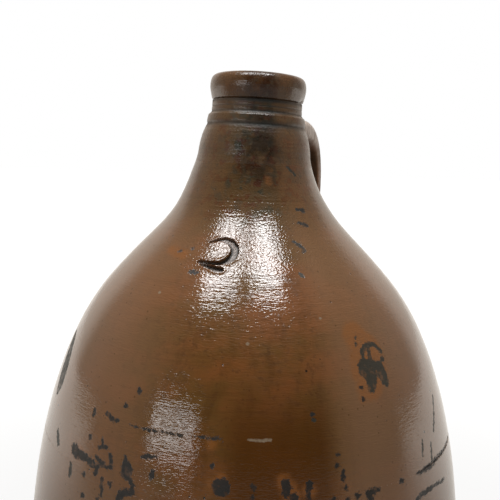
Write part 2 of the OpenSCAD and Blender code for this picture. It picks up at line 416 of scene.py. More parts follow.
@dataclass
class JugShape:
    """The whole jug's outline, joints and lean, from which every piece is cut."""

    foot_r: float = 76.0
    foot_bevel: float = 3.0
    foot_lean: float = 29.0
    floor_t: float = 9.0
    belly_r: float = 117.4
    belly_z: float = 110.0
    shoulder_r: float = 75.6
    shoulder_rise: float = 143.8
    shoulder_slope: float = 49.0
    wall: float = 7.0
    seam_z: float = 175.6
    neck_r: float = 31.4
    neck_rise: float = 60.4
    neck_slope: float = 17.9
    neck_tilt: float = 2.0
    lean_reach: float = 26.0
    tongue_h: float = 3.0
    lute_t: float = 1.0
    joint_gap: float = 0.3
    foot_pull: float = 0.28
    belly_drop: float = 0.37
    belly_lift: float = 0.125
    shoulder_pull: float = 0.88
    flare_pull: float = 0.6
    neck_pull: float = 0.507
    sway: float = 0.2
    sway_z: float = 273.0
    sway_reach: float = 20.0
    skin: float = 1.5
    lines: list[Vector] = field(default_factory=list)

    def __post_init__(self) -> None:
        """Works out the outer line from foot to neck once."""
        bends = (self.foot_bend(), self.belly_bend(), self.flare_bend())
        foot, belly, flare = (bend.spaced(0.5) for bend in bends)
        self.lines = even_steps(foot + belly[1:] + flare[1:], 0.25)

    @property
    def shoulder(self) -> Vector:
        """The point where the belly's curve meets the flare's."""
        return Vector((self.shoulder_r, self.belly_z + self.shoulder_rise))

    @property
    def neck_z(self) -> float:
        """Height of the joint between shoulder and neck."""
        return self.shoulder.y + self.neck_rise

    @property
    def slope(self) -> Vector:
        """The shoulder's fall for each millimetre outwards."""
        return Vector((1.0, -math.tan(math.radians(self.shoulder_slope))))

    def foot_bend(self) -> Bend:
        """Returns the outline from foot to belly.

        Returns:
            The stretch.
        """
        start = Vector((self.foot_r, self.foot_bevel))
        rise = self.belly_z - self.foot_bevel
        lean = Vector((math.tan(math.radians(self.foot_lean)), 1.0))
        end = Vector((self.belly_r, self.belly_z))
        drop = Vector((0.0, rise * self.belly_drop))
        return Bend(start, start + rise * self.foot_pull * lean, end - drop, end)

    def belly_bend(self) -> Bend:
        """Returns the outline from belly to shoulder.

        Returns:
            The stretch.
        """
        start = Vector((self.belly_r, self.belly_z))
        lift = Vector((0.0, self.shoulder_rise * self.belly_lift))
        pull = (self.belly_r - self.shoulder_r) * self.shoulder_pull
        return Bend(start, start + lift, self.shoulder + pull * self.slope, self.shoulder)

    def flare_bend(self) -> Bend:
        """Returns the outline from shoulder to neck.

        Returns:
            The stretch.
        """
        end = Vector((self.neck_r, self.neck_z))
        lean = Vector((-math.tan(math.radians(self.neck_slope)), 1.0))
        pull = (self.shoulder_r - self.neck_r) * self.flare_pull * self.slope
        return Bend(self.shoulder, self.shoulder - pull, end - self.neck_rise * self.neck_pull * lean, end)

    def radius(self, height: float) -> float:
        """Returns the body's outer radius at a height."""
        return radius_on(self.lines, height)

    def climb(self, height: float) -> float:
        """Returns how far a millimetre of height goes along the body's outside."""
        return math.hypot(1.0, (self.radius(height - 1.0) - self.radius(height + 1.0)) / 2.0)

    def outer(self, low: float, high: float, step: float) -> list[Vector]:
        """Returns the outer line between two heights, in even steps, with the throwing lines on it."""
        return [p + Vector((self.ridges(p.y), 0.0)) for p in stretch(self.lines, low, high, step)]

    def inner(self, low: float, high: float, step: float) -> list[Vector]:
        """Returns the inner wall's line between two heights, from low to high."""
        return stretch(offset_inward(self.lines, self.wall), low, high, step)

    def ridges(self, z: float) -> float:
        """Returns the height of the throwing lines that the fingers left, which differs with height.

        Args:
            z: the height on the jug.

        Returns:
            The height of the lines above the plain outline.
        """
        slow = 0.06 * math.sin(z / 4.1 + 1.4 * math.sin(z / 17.0))
        quick = 0.02 * math.sin(z / 0.72 + 2.0 * math.sin(z / 9.0)) * ease(z, 236.0, 250.0)
        foot = 0.03 * math.sin(math.tau * z / 1.9) * swell(z, 295.5, 3.0)
        edge = ease(abs(z - self.seam_z), 0.5, 4.0) * ease(self.neck_z - z, 0.0, 3.0)
        return (slow * ease(z, 20.0, 60.0) * 0.6 + quick + foot) * edge

    @property
    def seam_mid(self) -> float:
        """Radius of the middle of the wall at the joint between the two sections."""
        wall = offset_inward(self.lines, self.wall)
        return (self.radius(self.seam_z) + radius_on(wall, self.seam_z)) / 2.0

    @property
    def neck_mid(self) -> float:
        """Radius of the middle of the wall at the neck's joint."""
        return self.neck_r - self.wall / 2.0

    def true_up(self, piece: Piece) -> None:
        """Sets the outside of a wall back onto the outline where dividing its faces flattened it.

        Args:
            piece: a body piece, still true to the axis.
        """
        for vertex in piece.data.vertices:
            x, y, z = vertex.co / MM
            wanted, out = self.radius(z) + self.ridges(z), math.hypot(x, y)
            above = self.seam_z + 2.0 < z < self.neck_z - 1.0
            below = self.foot_bevel + 1.0 < z < self.seam_z - 1.0
            if (above or below) and out > wanted - self.skin:
                vertex.co.x *= wanted / out
                vertex.co.y *= wanted / out

    def settle(self, piece: Piece) -> None:
        """Leans the flare into the neck's own tilt and lets the shoulder sway, as the thrown clay did.

        Args:
            piece: a body piece whose mesh is still true to the axis.
        """
        pivot = Vector((0.0, 0.0, self.neck_z * MM))
        for vertex in piece.data.vertices:
            z = vertex.co.z / MM
            share = ease(z, self.neck_z - self.lean_reach, self.neck_z)
            if share > 0.0:
                turn = Matrix.Rotation(math.radians(self.neck_tilt) * share, 3, "Y")
                vertex.co = pivot + turn @ (vertex.co - pivot)
            vertex.co.x -= self.sway * MM * swell(z, self.sway_z, self.sway_reach)


@dataclass
class Numeral:
    """The plain capacity figure that was pressed into the wet shoulder with a stamp."""

    azimuth: float = -14.5
    height: float = 271.5
    depth: float = 1.8
    rim: float = 0.14
    half: float = 13.5
    skin: float = 2.0
    body: tuple[Spot, ...] = (
        (-7.4, 7.3, 0.3), (-3.0, 9.2, 0.9), (0.6, 9.6, 1.4), (4.2, 8.3, 1.9), (6.6, 5.4, 2.0),
        (7.0, 2.6, 2.0), (6.2, -0.6, 2.0), (4.0, -3.0, 1.7), (0.8, -4.4, 1.2), (-4.0, -4.5, 1.0),
        (-8.2, -4.2, 0.9), (-9.3, -4.7, 0.5),
    )
    tail: tuple[Spot, ...] = (
        (-7.5, -5.6, 0.7), (-3.0, -6.9, 1.1), (0.5, -8.0, 1.5), (2.2, -8.1, 1.3),
    )

    def local(self, point: Vector, shape: JugShape) -> tuple[float, float]:
        """Gives a point's place on the stamp's face.

        Args:
            point: a point on the shoulder in millimetres.
            shape: the jug's outline.

        Returns:
            The distance to the right of the stamp's middle and the distance up the slope.
        """
        middle_r = shape.radius(self.height)
        turn = azimuth_of(point) - self.azimuth
        return math.radians(turn) * middle_r, (point.z - self.height) * shape.climb(self.height)

    def gap(self, across: float, up: float) -> float:
        """Returns the distance from the nearest stroke's edge, below 0 inside it."""
        return -max(inside_run(run, across, up) for run in (self.body, self.tail))

    def inside(self, point: Vector, shape: JugShape, margin: float) -> bool:
        """Tells whether a point lies on the stamp's face, on the outside of the wall.

        Args:
            point: a point in millimetres.
            shape: the jug's outline.
            margin: how far within the face's edge it has to lie.

        Returns:
            Whether it does.
        """
        if abs(point.z - self.height) > self.half or point.y > 0.0:
            return False
        if math.hypot(point.x, point.y) < shape.radius(point.z) - self.skin:
            return False
        return max(map(abs, self.local(point, shape))) < self.half - margin

    def impress(self, piece: Piece, shape: JugShape) -> None:
        """Presses the figure into a body piece and raises the clay that it pushed aside.

        Args:
            piece: the body piece, still true to the axis.
            shape: the jug's outline.
        """
        refine(piece, [self.inside(v.co / MM, shape, 0.0) for v in piece.data.vertices], 3)
        shape.true_up(piece)

        def sunk(point: Vector, _: Vector) -> float:
            """Gives the share of the stamp's depth at a point.

            Args:
                point: a point in millimetres.

            Returns:
                The share.
            """
            if not self.inside(point, shape, 0.6):
                return 0.0
            across, up = self.local(point, shape)
            gap = self.gap(across, up)
            floor = 1.0 - 0.3 * ease(across - 0.6 * up, 2.0, -8.0)
            return ease(gap, 0.1, -0.38) * floor

        def raised(point: Vector, _: Vector) -> float:
            """Gives the share of the pushed-up rim at a point.

            Args:
                point: a point in millimetres.

            Returns:
                The share.
            """
            if not self.inside(point, shape, 0.6):
                return 0.0
            across, up = self.local(point, shape)
            gap = self.gap(across, up)
            side = ease(across - up, -9.0, 6.0)
            return swell(gap, 0.55, 0.7) * (0.25 + 0.75 * side)

        def pooled_glaze_and_painted_shade_in_stroke(point: Vector, normal: Vector) -> float:
            """Gives how dark the stroke is at a point: glaze pooled in it, and painted shade that is
            darkest along its walls.
            """
            gap = self.gap(*self.local(point, shape))
            return sunk(point, normal) * (1.0 - 0.5 * ease(-gap, 0.6, 1.5))

        # paints pooled glaze and shade into the stamped stroke, darkest along its walls
        paint(piece, "pooled_glaze_and_painted_shade", pooled_glaze_and_painted_shade_in_stroke)
        press(piece, "rim", self.rim, raised)
        press(piece, "stamp", -self.depth, sunk)


@dataclass(frozen=True)
class Mark:
    """One mark of the kiln, as a line of places: degrees round, millimetres up and half its width."""

    tone: Tone
    run: tuple[Spot, ...]

    def depth(self, turn: float, height: float, shape: JugShape) -> float:
        """Returns how many millimetres a place lies inside the mark's edge, below 0 outside it.

        Args:
            turn: the place's degrees round the jug.
            height: its height.
            shape: the jug's outline.

        Returns:
            The depth.
        """
        middle = self.run[0]
        radius = shape.radius(middle[1])
        climb = shape.climb(middle[1])

        def flat(a: float, z: float) -> Span:
            """Unrolls a place into millimetres across and up."""
            return math.radians(a - middle[0]) * radius, (z - middle[1]) * climb

        return inside_run([(*flat(a, z), half) for a, z, half in self.run], *flat(turn, height))


# The marks of each tone, drawn as lines of places: degrees round the jug, millimetres up, half the width.
MARKS: dict[Tone, tuple[tuple[Spot, ...], ...]] = {
    Tone.IRON: (
        (
            (-29.9, 200.5, 0.1), (-26.1, 200.3, 0.1), (-22.9, 200.2, 0.1),
            (-18.5, 200.3, 0.1), (-15.3, 200.2, 0.1),
        ),
        ((-12.8, 200.3, 0.1), (-10.1, 200.3, 0.1), (-8.5, 200.3, 0.2), (-5.8, 200.3, 0.3)),
        ((-29.0, 214.5, 1.0),), ((-32.0, 207.5, 0.9),), ((-42.5, 201.6, 0.8), (-42.3, 199.8, 0.9)),
        ((-37.9, 202.3, 0.5), (-35.0, 200.6, 0.8), (-33.3, 200.8, 0.4)), ((-41.7, 190.4, 1.0),),
        ((-37.3, 191.3, 0.5), (-36.8, 188.7, 0.6)), ((-37.8, 187.8, 0.6), (-35.0, 189.0, 0.5)),
        ((-47.2, 182.3, 2.2), (-45.5, 180.9, 2.4), (-42.2, 181.1, 1.3), (-38.9, 179.9, 1.5)),
        ((-38.2, 183.3, 0.7), (-35.7, 181.3, 1.0)),
        ((-33.9, 186.3, 0.5), (-33.0, 183.7, 0.6), (-32.8, 181.7, 0.6), (-34.9, 180.6, 0.4)),
        ((-37.4, 179.8, 1.1), (-37.5, 176.4, 0.7)), ((-41.5, 173.9, 1.0),), ((-40.7, 165.2, 1.1),),
        ((-29.3, 187.7, 0.4), (-29.0, 184.9, 1.6), (-28.4, 182.8, 2.8), (-28.3, 180.6, 2.1)),
        (
            (-27.3, 179.2, 0.9), (-26.3, 176.7, 0.9), (-26.3, 173.8, 1.2),
            (-28.8, 172.7, 1.3), (-29.4, 169.9, 1.7),
        ),
        ((-24.8, 189.1, 0.4), (-23.2, 189.9, 0.9), (-21.2, 190.1, 0.3)),
        ((-21.5, 184.5, 0.8), (-21.8, 181.5, 0.7)), ((-35.1, 175.0, 0.7), (-34.7, 169.1, 0.7)),
        ((-32.6, 174.5, 1.0),), ((-35.6, 166.2, 0.9),), ((-5.4, 181.8, 3.5),), ((-7.8, 189.7, 0.7),),
        ((16.0, 209.6, 0.7),), ((30.9, 217.5, 0.6),), ((30.9, 213.2, 0.9),), ((21.5, 192.9, 0.5),),
        ((21.1, 188.5, 0.7),), ((22.5, 185.9, 0.7), (22.4, 182.8, 0.7)), ((23.1, 179.4, 0.6),),
        ((39.3, 175.9, 1.2),), ((29.1, 175.3, 0.8), (30.6, 175.5, 1.0), (31.6, 175.8, 0.6)),
        ((28.4, 175.7, 0.7), (29.2, 173.1, 1.3)), ((25.5, 175.3, 1.2),), ((23.2, 174.6, 1.0),),
        ((19.5, 175.6, 0.8),), ((1.6, 182.2, 0.9),), ((1.4, 177.7, 0.8),),
        ((8.7, 183.7, 1.4), (8.8, 179.3, 1.4)), ((9.6, 182.0, 0.9),), ((10.5, 177.7, 1.8),),
        ((14.3, 182.5, 1.3), (13.8, 180.4, 1.0), (13.9, 177.0, 0.8)),
        (
            (71.8, 176.9, 0.4), (63.2, 176.4, 0.6), (56.7, 176.5, 0.9),
            (52.2, 175.5, 1.1), (49.4, 175.6, 0.9), (45.5, 175.7, 0.4),
        ),
        (
            (59.9, 164.1, 0.4), (53.8, 165.7, 0.6), (49.8, 166.1, 0.7),
            (45.7, 165.7, 1.0), (43.8, 164.7, 0.6),
        ),
        ((32.5, 292.6, 0.4), (37.9, 291.9, 0.8)), ((30.6, 286.3, 0.5), (34.9, 284.9, 0.8)),
        ((22.5, 277.7, 0.4), (24.6, 276.4, 0.7), (26.3, 274.9, 0.8), (25.8, 273.5, 0.7)),
        ((-24.8, 263.8, 0.9), (-22.1, 263.8, 0.6)), ((-35.6, 271.9, 0.8),), ((-28.9, 273.3, 0.4),),
    ),
    Tone.SLATE: (
        ((24.7, 318.1, 0.2), (32.4, 314.2, 0.3), (40.9, 309.6, 0.2)),
        (
            (33.3, 226.4, 2.7), (33.8, 224.4, 3.7), (35.0, 222.1, 3.5),
            (34.8, 219.3, 2.7), (34.2, 216.5, 1.7),
        ),
        ((33.4, 226.8, 2.4), (36.4, 225.7, 2.7)),
        ((38.9, 224.5, 2.4), (39.4, 221.5, 2.9), (39.6, 218.9, 2.0), (40.1, 217.0, 1.1)),
        (
            (34.0, 227.9, 0.8), (34.1, 231.4, 0.9), (35.6, 233.4, 0.9),
            (37.5, 234.2, 0.7), (39.9, 233.3, 0.7), (41.6, 230.3, 0.6),
        ),
        ((36.8, 233.3, 0.7), (36.7, 230.9, 0.7), (36.0, 227.5, 0.8)), ((41.2, 227.2, 1.0),),
        ((33.1, 237.7, 0.5),), ((32.8, 235.0, 0.5),), ((-58.1, 183.8, 1.0), (-55.9, 179.1, 1.1)),
        ((-47.2, 174.8, 1.0), (-46.9, 170.6, 1.0)), ((20.3, 264.4, 0.5), (20.8, 263.3, 0.6)),
        ((16.1, 207.6, 0.7),),
        (
            (-75.4, 223.8, 2.2), (-72.3, 219.9, 3.9), (-69.6, 213.3, 5.3),
            (-68.3, 207.3, 5.5), (-67.6, 202.6, 4.5), (-67.8, 199.0, 2.6),
        ),
        ((63.5, 202.4, 0.5), (57.7, 189.2, 0.6)), ((50.1, 188.1, 0.4), (49.2, 182.3, 0.4)),
        ((54.5, 184.4, 0.5), (53.6, 177.9, 0.6)),
    ),
    Tone.RUST: (
        ((12.5, 307.3, 0.5), (12.8, 305.9, 0.8)),
        ((33.3, 238.5, 6.0), (35.9, 231.7, 8.6), (35.2, 224.4, 9.2), (33.9, 217.4, 6.0)),
        ((31.0, 213.6, 1.6),), ((-41.6, 272.0, 1.8), (-32.7, 270.5, 2.2)),
        ((-7.1, 182.5, 1.9), (-5.6, 185.1, 1.8)), ((8.3, 184.7, 2.3), (10.1, 179.0, 3.3)),
        ((14.0, 180.0, 2.4),), ((-44.9, 181.6, 2.8),), ((-8.1, 198.0, 1.4),),
    ),
    Tone.PALE: (
        ((0.4, 200.6, 0.1), (2.2, 200.4, 0.3), (3.6, 200.4, 0.3), (5.7, 200.5, 0.1)),
        ((-34.0, 254.1, 0.5),), ((22.8, 246.5, 0.4),), ((-0.5, 237.3, 0.4),),
    ),
}


@dataclass
class Body:
    """The two thrown sections of the jug's body and the wet clay that joins them."""

    shape: JugShape
    numeral: Numeral
    segments: int = 384
    lower_step: float = 1.5
    outer_step: float = 1.25
    inner_step: float = 5.0
    fine_step: float = 0.45
    fine_z: float = 292.0
    seam_depth: float = 0.5
    marks: tuple[Mark, ...] = tuple(Mark(tone, run) for tone, runs in MARKS.items() for run in runs)
    plain: float = -3.0
    dense: float = -1.6
    seam_open: tuple[Span, ...] = ((42.0, 88.0), (-150.0, -96.0))
    cuts: int = 2

    def lower(self) -> Piece:
        """Throws the lower section, from the floor to the joint's tongue.

        Returns:
            The piece.
        """
        s = self.shape
        top = s.seam_z + s.tongue_h
        inside = s.inner(s.floor_t + 2.0, top, self.inner_step)
        floor_r = inside[0].x
        outline = corners((0.0, 0.0), (s.foot_r * 0.5, 0.0), (s.foot_r - s.foot_bevel, 0.0))
        outline += corners((s.foot_r - 1.2, 0.6), (s.foot_r - 0.4, 1.5))
        outline += s.outer(s.foot_bevel, s.seam_z, self.lower_step)
        outline += corners((s.seam_mid, s.seam_z), (s.seam_mid, top)) + inside[::-1]
        outline += corners((floor_r - 2.2, s.floor_t + 0.6), (floor_r - 6.0, s.floor_t))
        outline += corners((floor_r * 0.5, s.floor_t), (0.0, s.floor_t))
        piece = thrown("glazed_lower_wall", outline, self.segments)
        self.fire(piece)
        smooth(piece, 50.0)
        return piece

    def upper(self) -> Piece:
        """Throws the upper section, from the joint to the neck's tongue, and stamps its figure.

        Returns:
            The piece.
        """
        s = self.shape
        low = s.seam_z + s.lute_t
        rest = s.seam_z + s.tongue_h
        top = s.neck_z + s.tongue_h
        outline = s.outer(low, self.fine_z, self.outer_step)
        outline += s.outer(self.fine_z, s.neck_z, self.fine_step)[1:]
        outline += corners((s.neck_mid, s.neck_z), (s.neck_mid, top), (s.neck_r - s.wall - 0.6, top))
        outline += s.inner(rest, s.neck_z, self.inner_step)[::-1]
        outline += corners((s.seam_mid + s.joint_gap, rest), (s.seam_mid + s.joint_gap, low))
        piece = thrown("glazed_shoulder", outline, self.segments)
        self.fire(piece)
        self.numeral.impress(piece, s)
        s.settle(piece)
        smooth(piece, 50.0)
        return piece

    def luting(self) -> Piece:
        """Rolls the ring of wet clay between the two sections, with the places where it shows as a seam.

        Returns:
            The piece.
        """
        s = self.shape
        outline = s.outer(s.seam_z, s.seam_z + s.lute_t, 0.2)
        within = s.seam_mid + s.joint_gap
        outline += corners((within, s.seam_z + s.lute_t), (within, s.seam_z))
        piece = thrown("body_joint_clay", outline, self.segments)

        def opened(point: Vector, _: Vector) -> float:
            """Gives how far the seam is open at a point."""
            outside = math.hypot(point.x, point.y) > s.radius(s.seam_z) - s.skin
            return self.seam_shows(point) * swell(point.z, s.seam_z + 0.5, 0.42) if outside else 0.0

        press(piece, "seam", -self.seam_depth, opened)
        self.fire(piece)
        smooth(piece, 50.0)
        return piece

    def depths(self, piece: Piece) -> dict[Tone, list[float]]:
        """Works out how deep each vertex of a piece's outside lies in the marks of each tone.

        Args:
            piece: a body piece, still true to the axis.

        Returns:
            For each tone the depth at each vertex, at the least the plain one.
        """
        s = self.shape
        outside = []
        for vertex in piece.data.vertices:
            place = vertex.co / MM
            if math.hypot(place.x, place.y) > s.radius(place.z) - s.skin:
                outside.append((place.z, azimuth_of(place), vertex.index))
        outside.sort()
        heights = [place[0] for place in outside]
        found = {tone: [self.plain] * len(piece.data.vertices) for tone in Tone}
        for mark in self.marks:
            turns, rises, halves = zip(*mark.run)
            reach = max(halves) - self.plain
            side = math.degrees(reach / s.radius(rises[0]))
            first = bisect_left(heights, min(rises) - reach)
            last = bisect_right(heights, max(rises) + reach)
            depths = found[mark.tone]
            for z, turn, index in outside[first:last]:
                if min(turns) - side < turn < max(turns) + side:
                    depths[index] = max(depths[index], mark.depth(turn, z, s))
        return found

    def fire(self, piece: Piece) -> None:
        """Divides a piece round the kiln's marks and stores how deep each point lies in them.

        Args:
            piece: a body piece, still true to the axis.
        """
        s = self.shape
        deepest = [max(depth) for depth in zip(*self.depths(piece).values())]
        refine(piece, [depth > self.dense for depth in deepest], self.cuts)
        if piece.name != "body_joint_clay":
            s.true_up(piece)
        for tone, depth in self.depths(piece).items():
            layer = piece.data.attributes.new(tone.name.lower(), "FLOAT", "POINT")
            layer.data.foreach_set("value", depth)

    def seam_shows(self, point: Vector) -> float:
        """Returns how far the seam stands open at a point, by its place round the jug.

        Args:
            point: a point in millimetres.

        Returns:
            The share of the seam's full depth.
        """
        turn = azimuth_of(point)
        broken = 0.5 + 0.5 * math.sin(turn * 0.9 + 1.3 * math.sin(turn * 0.37))
        shown = max(ease(turn, a, a + 10.0) * ease(turn, b, b - 8.0) for a, b in self.seam_open)
        return shown * (0.25 + 0.75 * broken)


@dataclass
class Neck:
    """The thrown neck with its grooved collar, thick rolled lip and narrow pouring bore."""

    shape: JugShape
    segments: int = 256
    collar_foot_r: float = 26.6
    collar_top_r: float = 24.0
    low_groove_z: float = 20.2
    high_groove_z: float = 26.1
    fine_groove_z: float = 29.4
    groove_reach: float = 0.7
    low_groove_depth: float = 0.4
    high_groove_depth: float = 0.75
    fine_groove_depth: float = 0.16
    bead_bulge: float = 0.2
    step_in: float = 1.0
    lip_z: float = 33.0
    lip_h: float = 13.6
    lip_foot_r: float = 24.3
    lip_r: float = 25.6
    mouth_r: float = 13.5
    throat_z: float = 20.0
    chip_turn: float = 72.0
    chip_reach: float = 5.0
    chip_depth: float = 0.7
    uneven_h: float = 0.15
    step: float = 0.3
    lines: list[Vector] = field(default_factory=list)

    def __post_init__(self) -> None:
        """Works out the outline below the collar once."""
        self.lines = self.side_bend().spaced(self.step)

    def collar(self, z: float) -> float:
        """Returns the plain collar's radius at a height above the neck's joint."""
        share = (z - self.low_groove_z) / (self.lip_z - self.low_groove_z)
        return self.collar_foot_r + (self.collar_top_r - self.collar_foot_r) * share

    def side_bend(self) -> Bend:
        """Returns the outline from the neck's joint up to the collar.

        Returns:
            The stretch.
        """
        start = Vector((self.shape.neck_r, 0.0))
        slope = math.radians(self.shape.neck_slope)
        leave = start + self.low_groove_z / 3.0 * Vector((-math.sin(slope), math.cos(slope)))
        end_z = self.low_groove_z - 1.3
        arrive = Vector((self.collar(0.0), self.low_groove_z / 2.0))
        return Bend(start, leave, arrive, Vector((self.collar(end_z), end_z)))

    def tooled(self, z: float) -> float:
        """Returns what the turning tool added to the collar at a height: grooves, a bead and fine lines.

        Args:
            z: the height above the neck's joint.

        Returns:
            What is added to the radius.
        """
        cut = self.low_groove_depth * swell(z, self.low_groove_z, self.groove_reach * 1.25)
        cut += self.high_groove_depth * swell(z, self.high_groove_z, self.groove_reach)
        cut += self.fine_groove_depth * swell(z, self.fine_groove_z, 0.4)
        cut += self.step_in * ease(z, self.high_groove_z, self.high_groove_z + 0.9) * (self.lip_z - z) / 6.0
        bead = self.bead_bulge * ease(z, self.low_groove_z, 23.0) * ease(z, self.high_groove_z, 25.0)
        fine = 0.02 * math.sin(z / 0.36) * ease(z, 0.5, 3.0) * ease(z, 20.0, 17.0)
        slow = 0.03 * math.sin(z / 1.15 + 0.8) * ease(z, 1.0, 4.0) * ease(z, 20.0, 17.0)
        return bead - cut + fine + slow

    def lip(self) -> list[Vector]:
        """Returns the outline of the rolled lip, from its undercut over the crest into the bore.

        Returns:
            The points, from the collar to the bore.
        """
        foot, wide, mouth = self.lip_foot_r, self.lip_r, self.mouth_r
        low, top = self.lip_z, self.lip_z + self.lip_h
        knots = corners(
            (self.collar_top_r - 0.55, low), (self.collar_top_r - 0.5, low + 0.35),
            (foot - 0.35, low + 0.25), (foot + 0.1, low + 0.75), (foot + 0.35, low + 1.8),
            (wide, low + 5.2), (wide, low + 7.2), (wide, low + 11.5), (wide - 1.4, top),
            (wide - 5.2, top), (wide - 8.0, top), (mouth, top - 1.2), (mouth, top - 4.6),
        )
        points: list[Vector] = []
        for i in range(0, len(knots) - 1, 3):
            points += Bend(*knots[i : i + 4]).spaced(self.step)[1 if points else 0 :]
        return points

    def thrown_neck(self) -> Piece:
        """Throws the neck and leans it as on the real jug.

        Returns:
            The piece.
        """
        s = self.shape
        climb = list(self.lines)
        climb += even_steps([climb[-1], Vector((self.collar(self.lip_z), self.lip_z))], 0.25)[1:-1]
        climb = [p + Vector((self.tooled(p.y), 0.0)) for p in climb if p.y >= s.lute_t]
        bottom = Vector((radius_on(self.lines, s.lute_t), s.lute_t))
        mouth, inner = self.mouth_r, s.neck_r - s.wall
        above = corners((mouth, self.throat_z), (mouth, self.throat_z * 0.55))
        throat = Bend(*above, *corners((inner, self.throat_z * 0.45), (inner, s.tongue_h)))
        bore = even_steps([self.lip()[-1], above[0]], 1.2)
        outline = [bottom] + climb + self.lip() + bore[1:] + throat.spaced(1.0)[1:]
        within = s.neck_mid + s.joint_gap
        outline += corners((within, s.tongue_h), (within, s.lute_t))
        piece = thrown("glazed_neck", outline, self.segments)
        paint(piece, "pooled_glaze_and_painted_shade", self.pooled_glaze_and_painted_shade)
        self.chip(piece)
        self.lean(piece)
        smooth(piece, 60.0)
        return piece

    def pooled_glaze_and_painted_shade(self, point: Vector, _: Vector) -> float:
        """Returns how much dark glaze pooled at a point, which is most in the grooves and under the lip.

        Args:
            point: a point in millimetres.

        Returns:
            The share at that point.
        """
        out = point.xy.length
        if out < self.mouth_r + 2.0:
            return 0.6
        groove = max(
            1.0 * swell(point.z, self.low_groove_z - 0.2, 1.25),
            0.95 * swell(point.z, self.high_groove_z + 0.5, 0.7),
            0.6 * swell(point.z, self.fine_groove_z, 0.5),
            1.0 * swell(point.z, self.lip_z - 0.8, 1.0),
        )
        return groove * (0.75 + 0.25 * math.sin(3.0 * math.atan2(point.x, -point.y) + 1.0))

    def chip(self, piece: Piece) -> None:
        """Knocks the small chip out of the lip's lower edge at the right, and unevens the lip a little.

        Args:
            piece: the neck, before it is leaned.
        """
        edge = self.lip_z + 0.6

        def knocked(point: Vector, _: Vector) -> float:
            """Gives the share of the chip's depth at a point."""
            round_edge = swell(azimuth_of(point), self.chip_turn, self.chip_reach)
            return round_edge * swell(point.z, edge, 1.3) if point.xy.length > self.mouth_r + 6.5 else 0.0

        def uneven(point: Vector, _: Vector) -> float:
            """Gives how far a point of the lip is lifted.

            Args:
                point: a point in millimetres.

            Returns:
                The share at that point.
            """
            turn = math.atan2(point.x, -point.y)
            wave = 0.5 + 0.25 * math.sin(2.0 * turn + 0.6) + 0.25 * math.sin(3.0 * turn + 2.0)
            return wave * ease(point.z, self.lip_z, self.lip_z + self.lip_h)

        press(piece, "chip", -self.chip_depth, knocked)
        press(piece, "uneven", self.uneven_h, uneven)

    def lean(self, piece: Piece) -> None:
        """Sets a piece made at the origin onto the shoulder, at the neck's tilt.

        Args:
            piece: the neck or its clay ring.
        """
        only(piece)
        piece.location = (0.0, 0.0, self.shape.neck_z * MM)
        piece.rotation_euler = (0.0, math.radians(self.shape.neck_tilt), 0.0)
        bpy.ops.object.transform_apply(location=True, rotation=True, scale=False)

    def luting(self) -> Piece:
        """Rolls the ring of wet clay between shoulder and neck.

        Returns:
            The piece.
        """
        s = self.shape
        side = [p for p in self.side_bend().spaced(0.2) if p.y <= s.lute_t]
        side[-1] = Vector((radius_on(self.lines, s.lute_t), s.lute_t))
        within = s.neck_mid + s.joint_gap
        outline = side + corners((within, s.lute_t), (within, 0.0))
        piece = thrown("neck_joint_clay", outline, self.segments)
        self.lean(piece)
        smooth(piece, 50.0)
        return piece


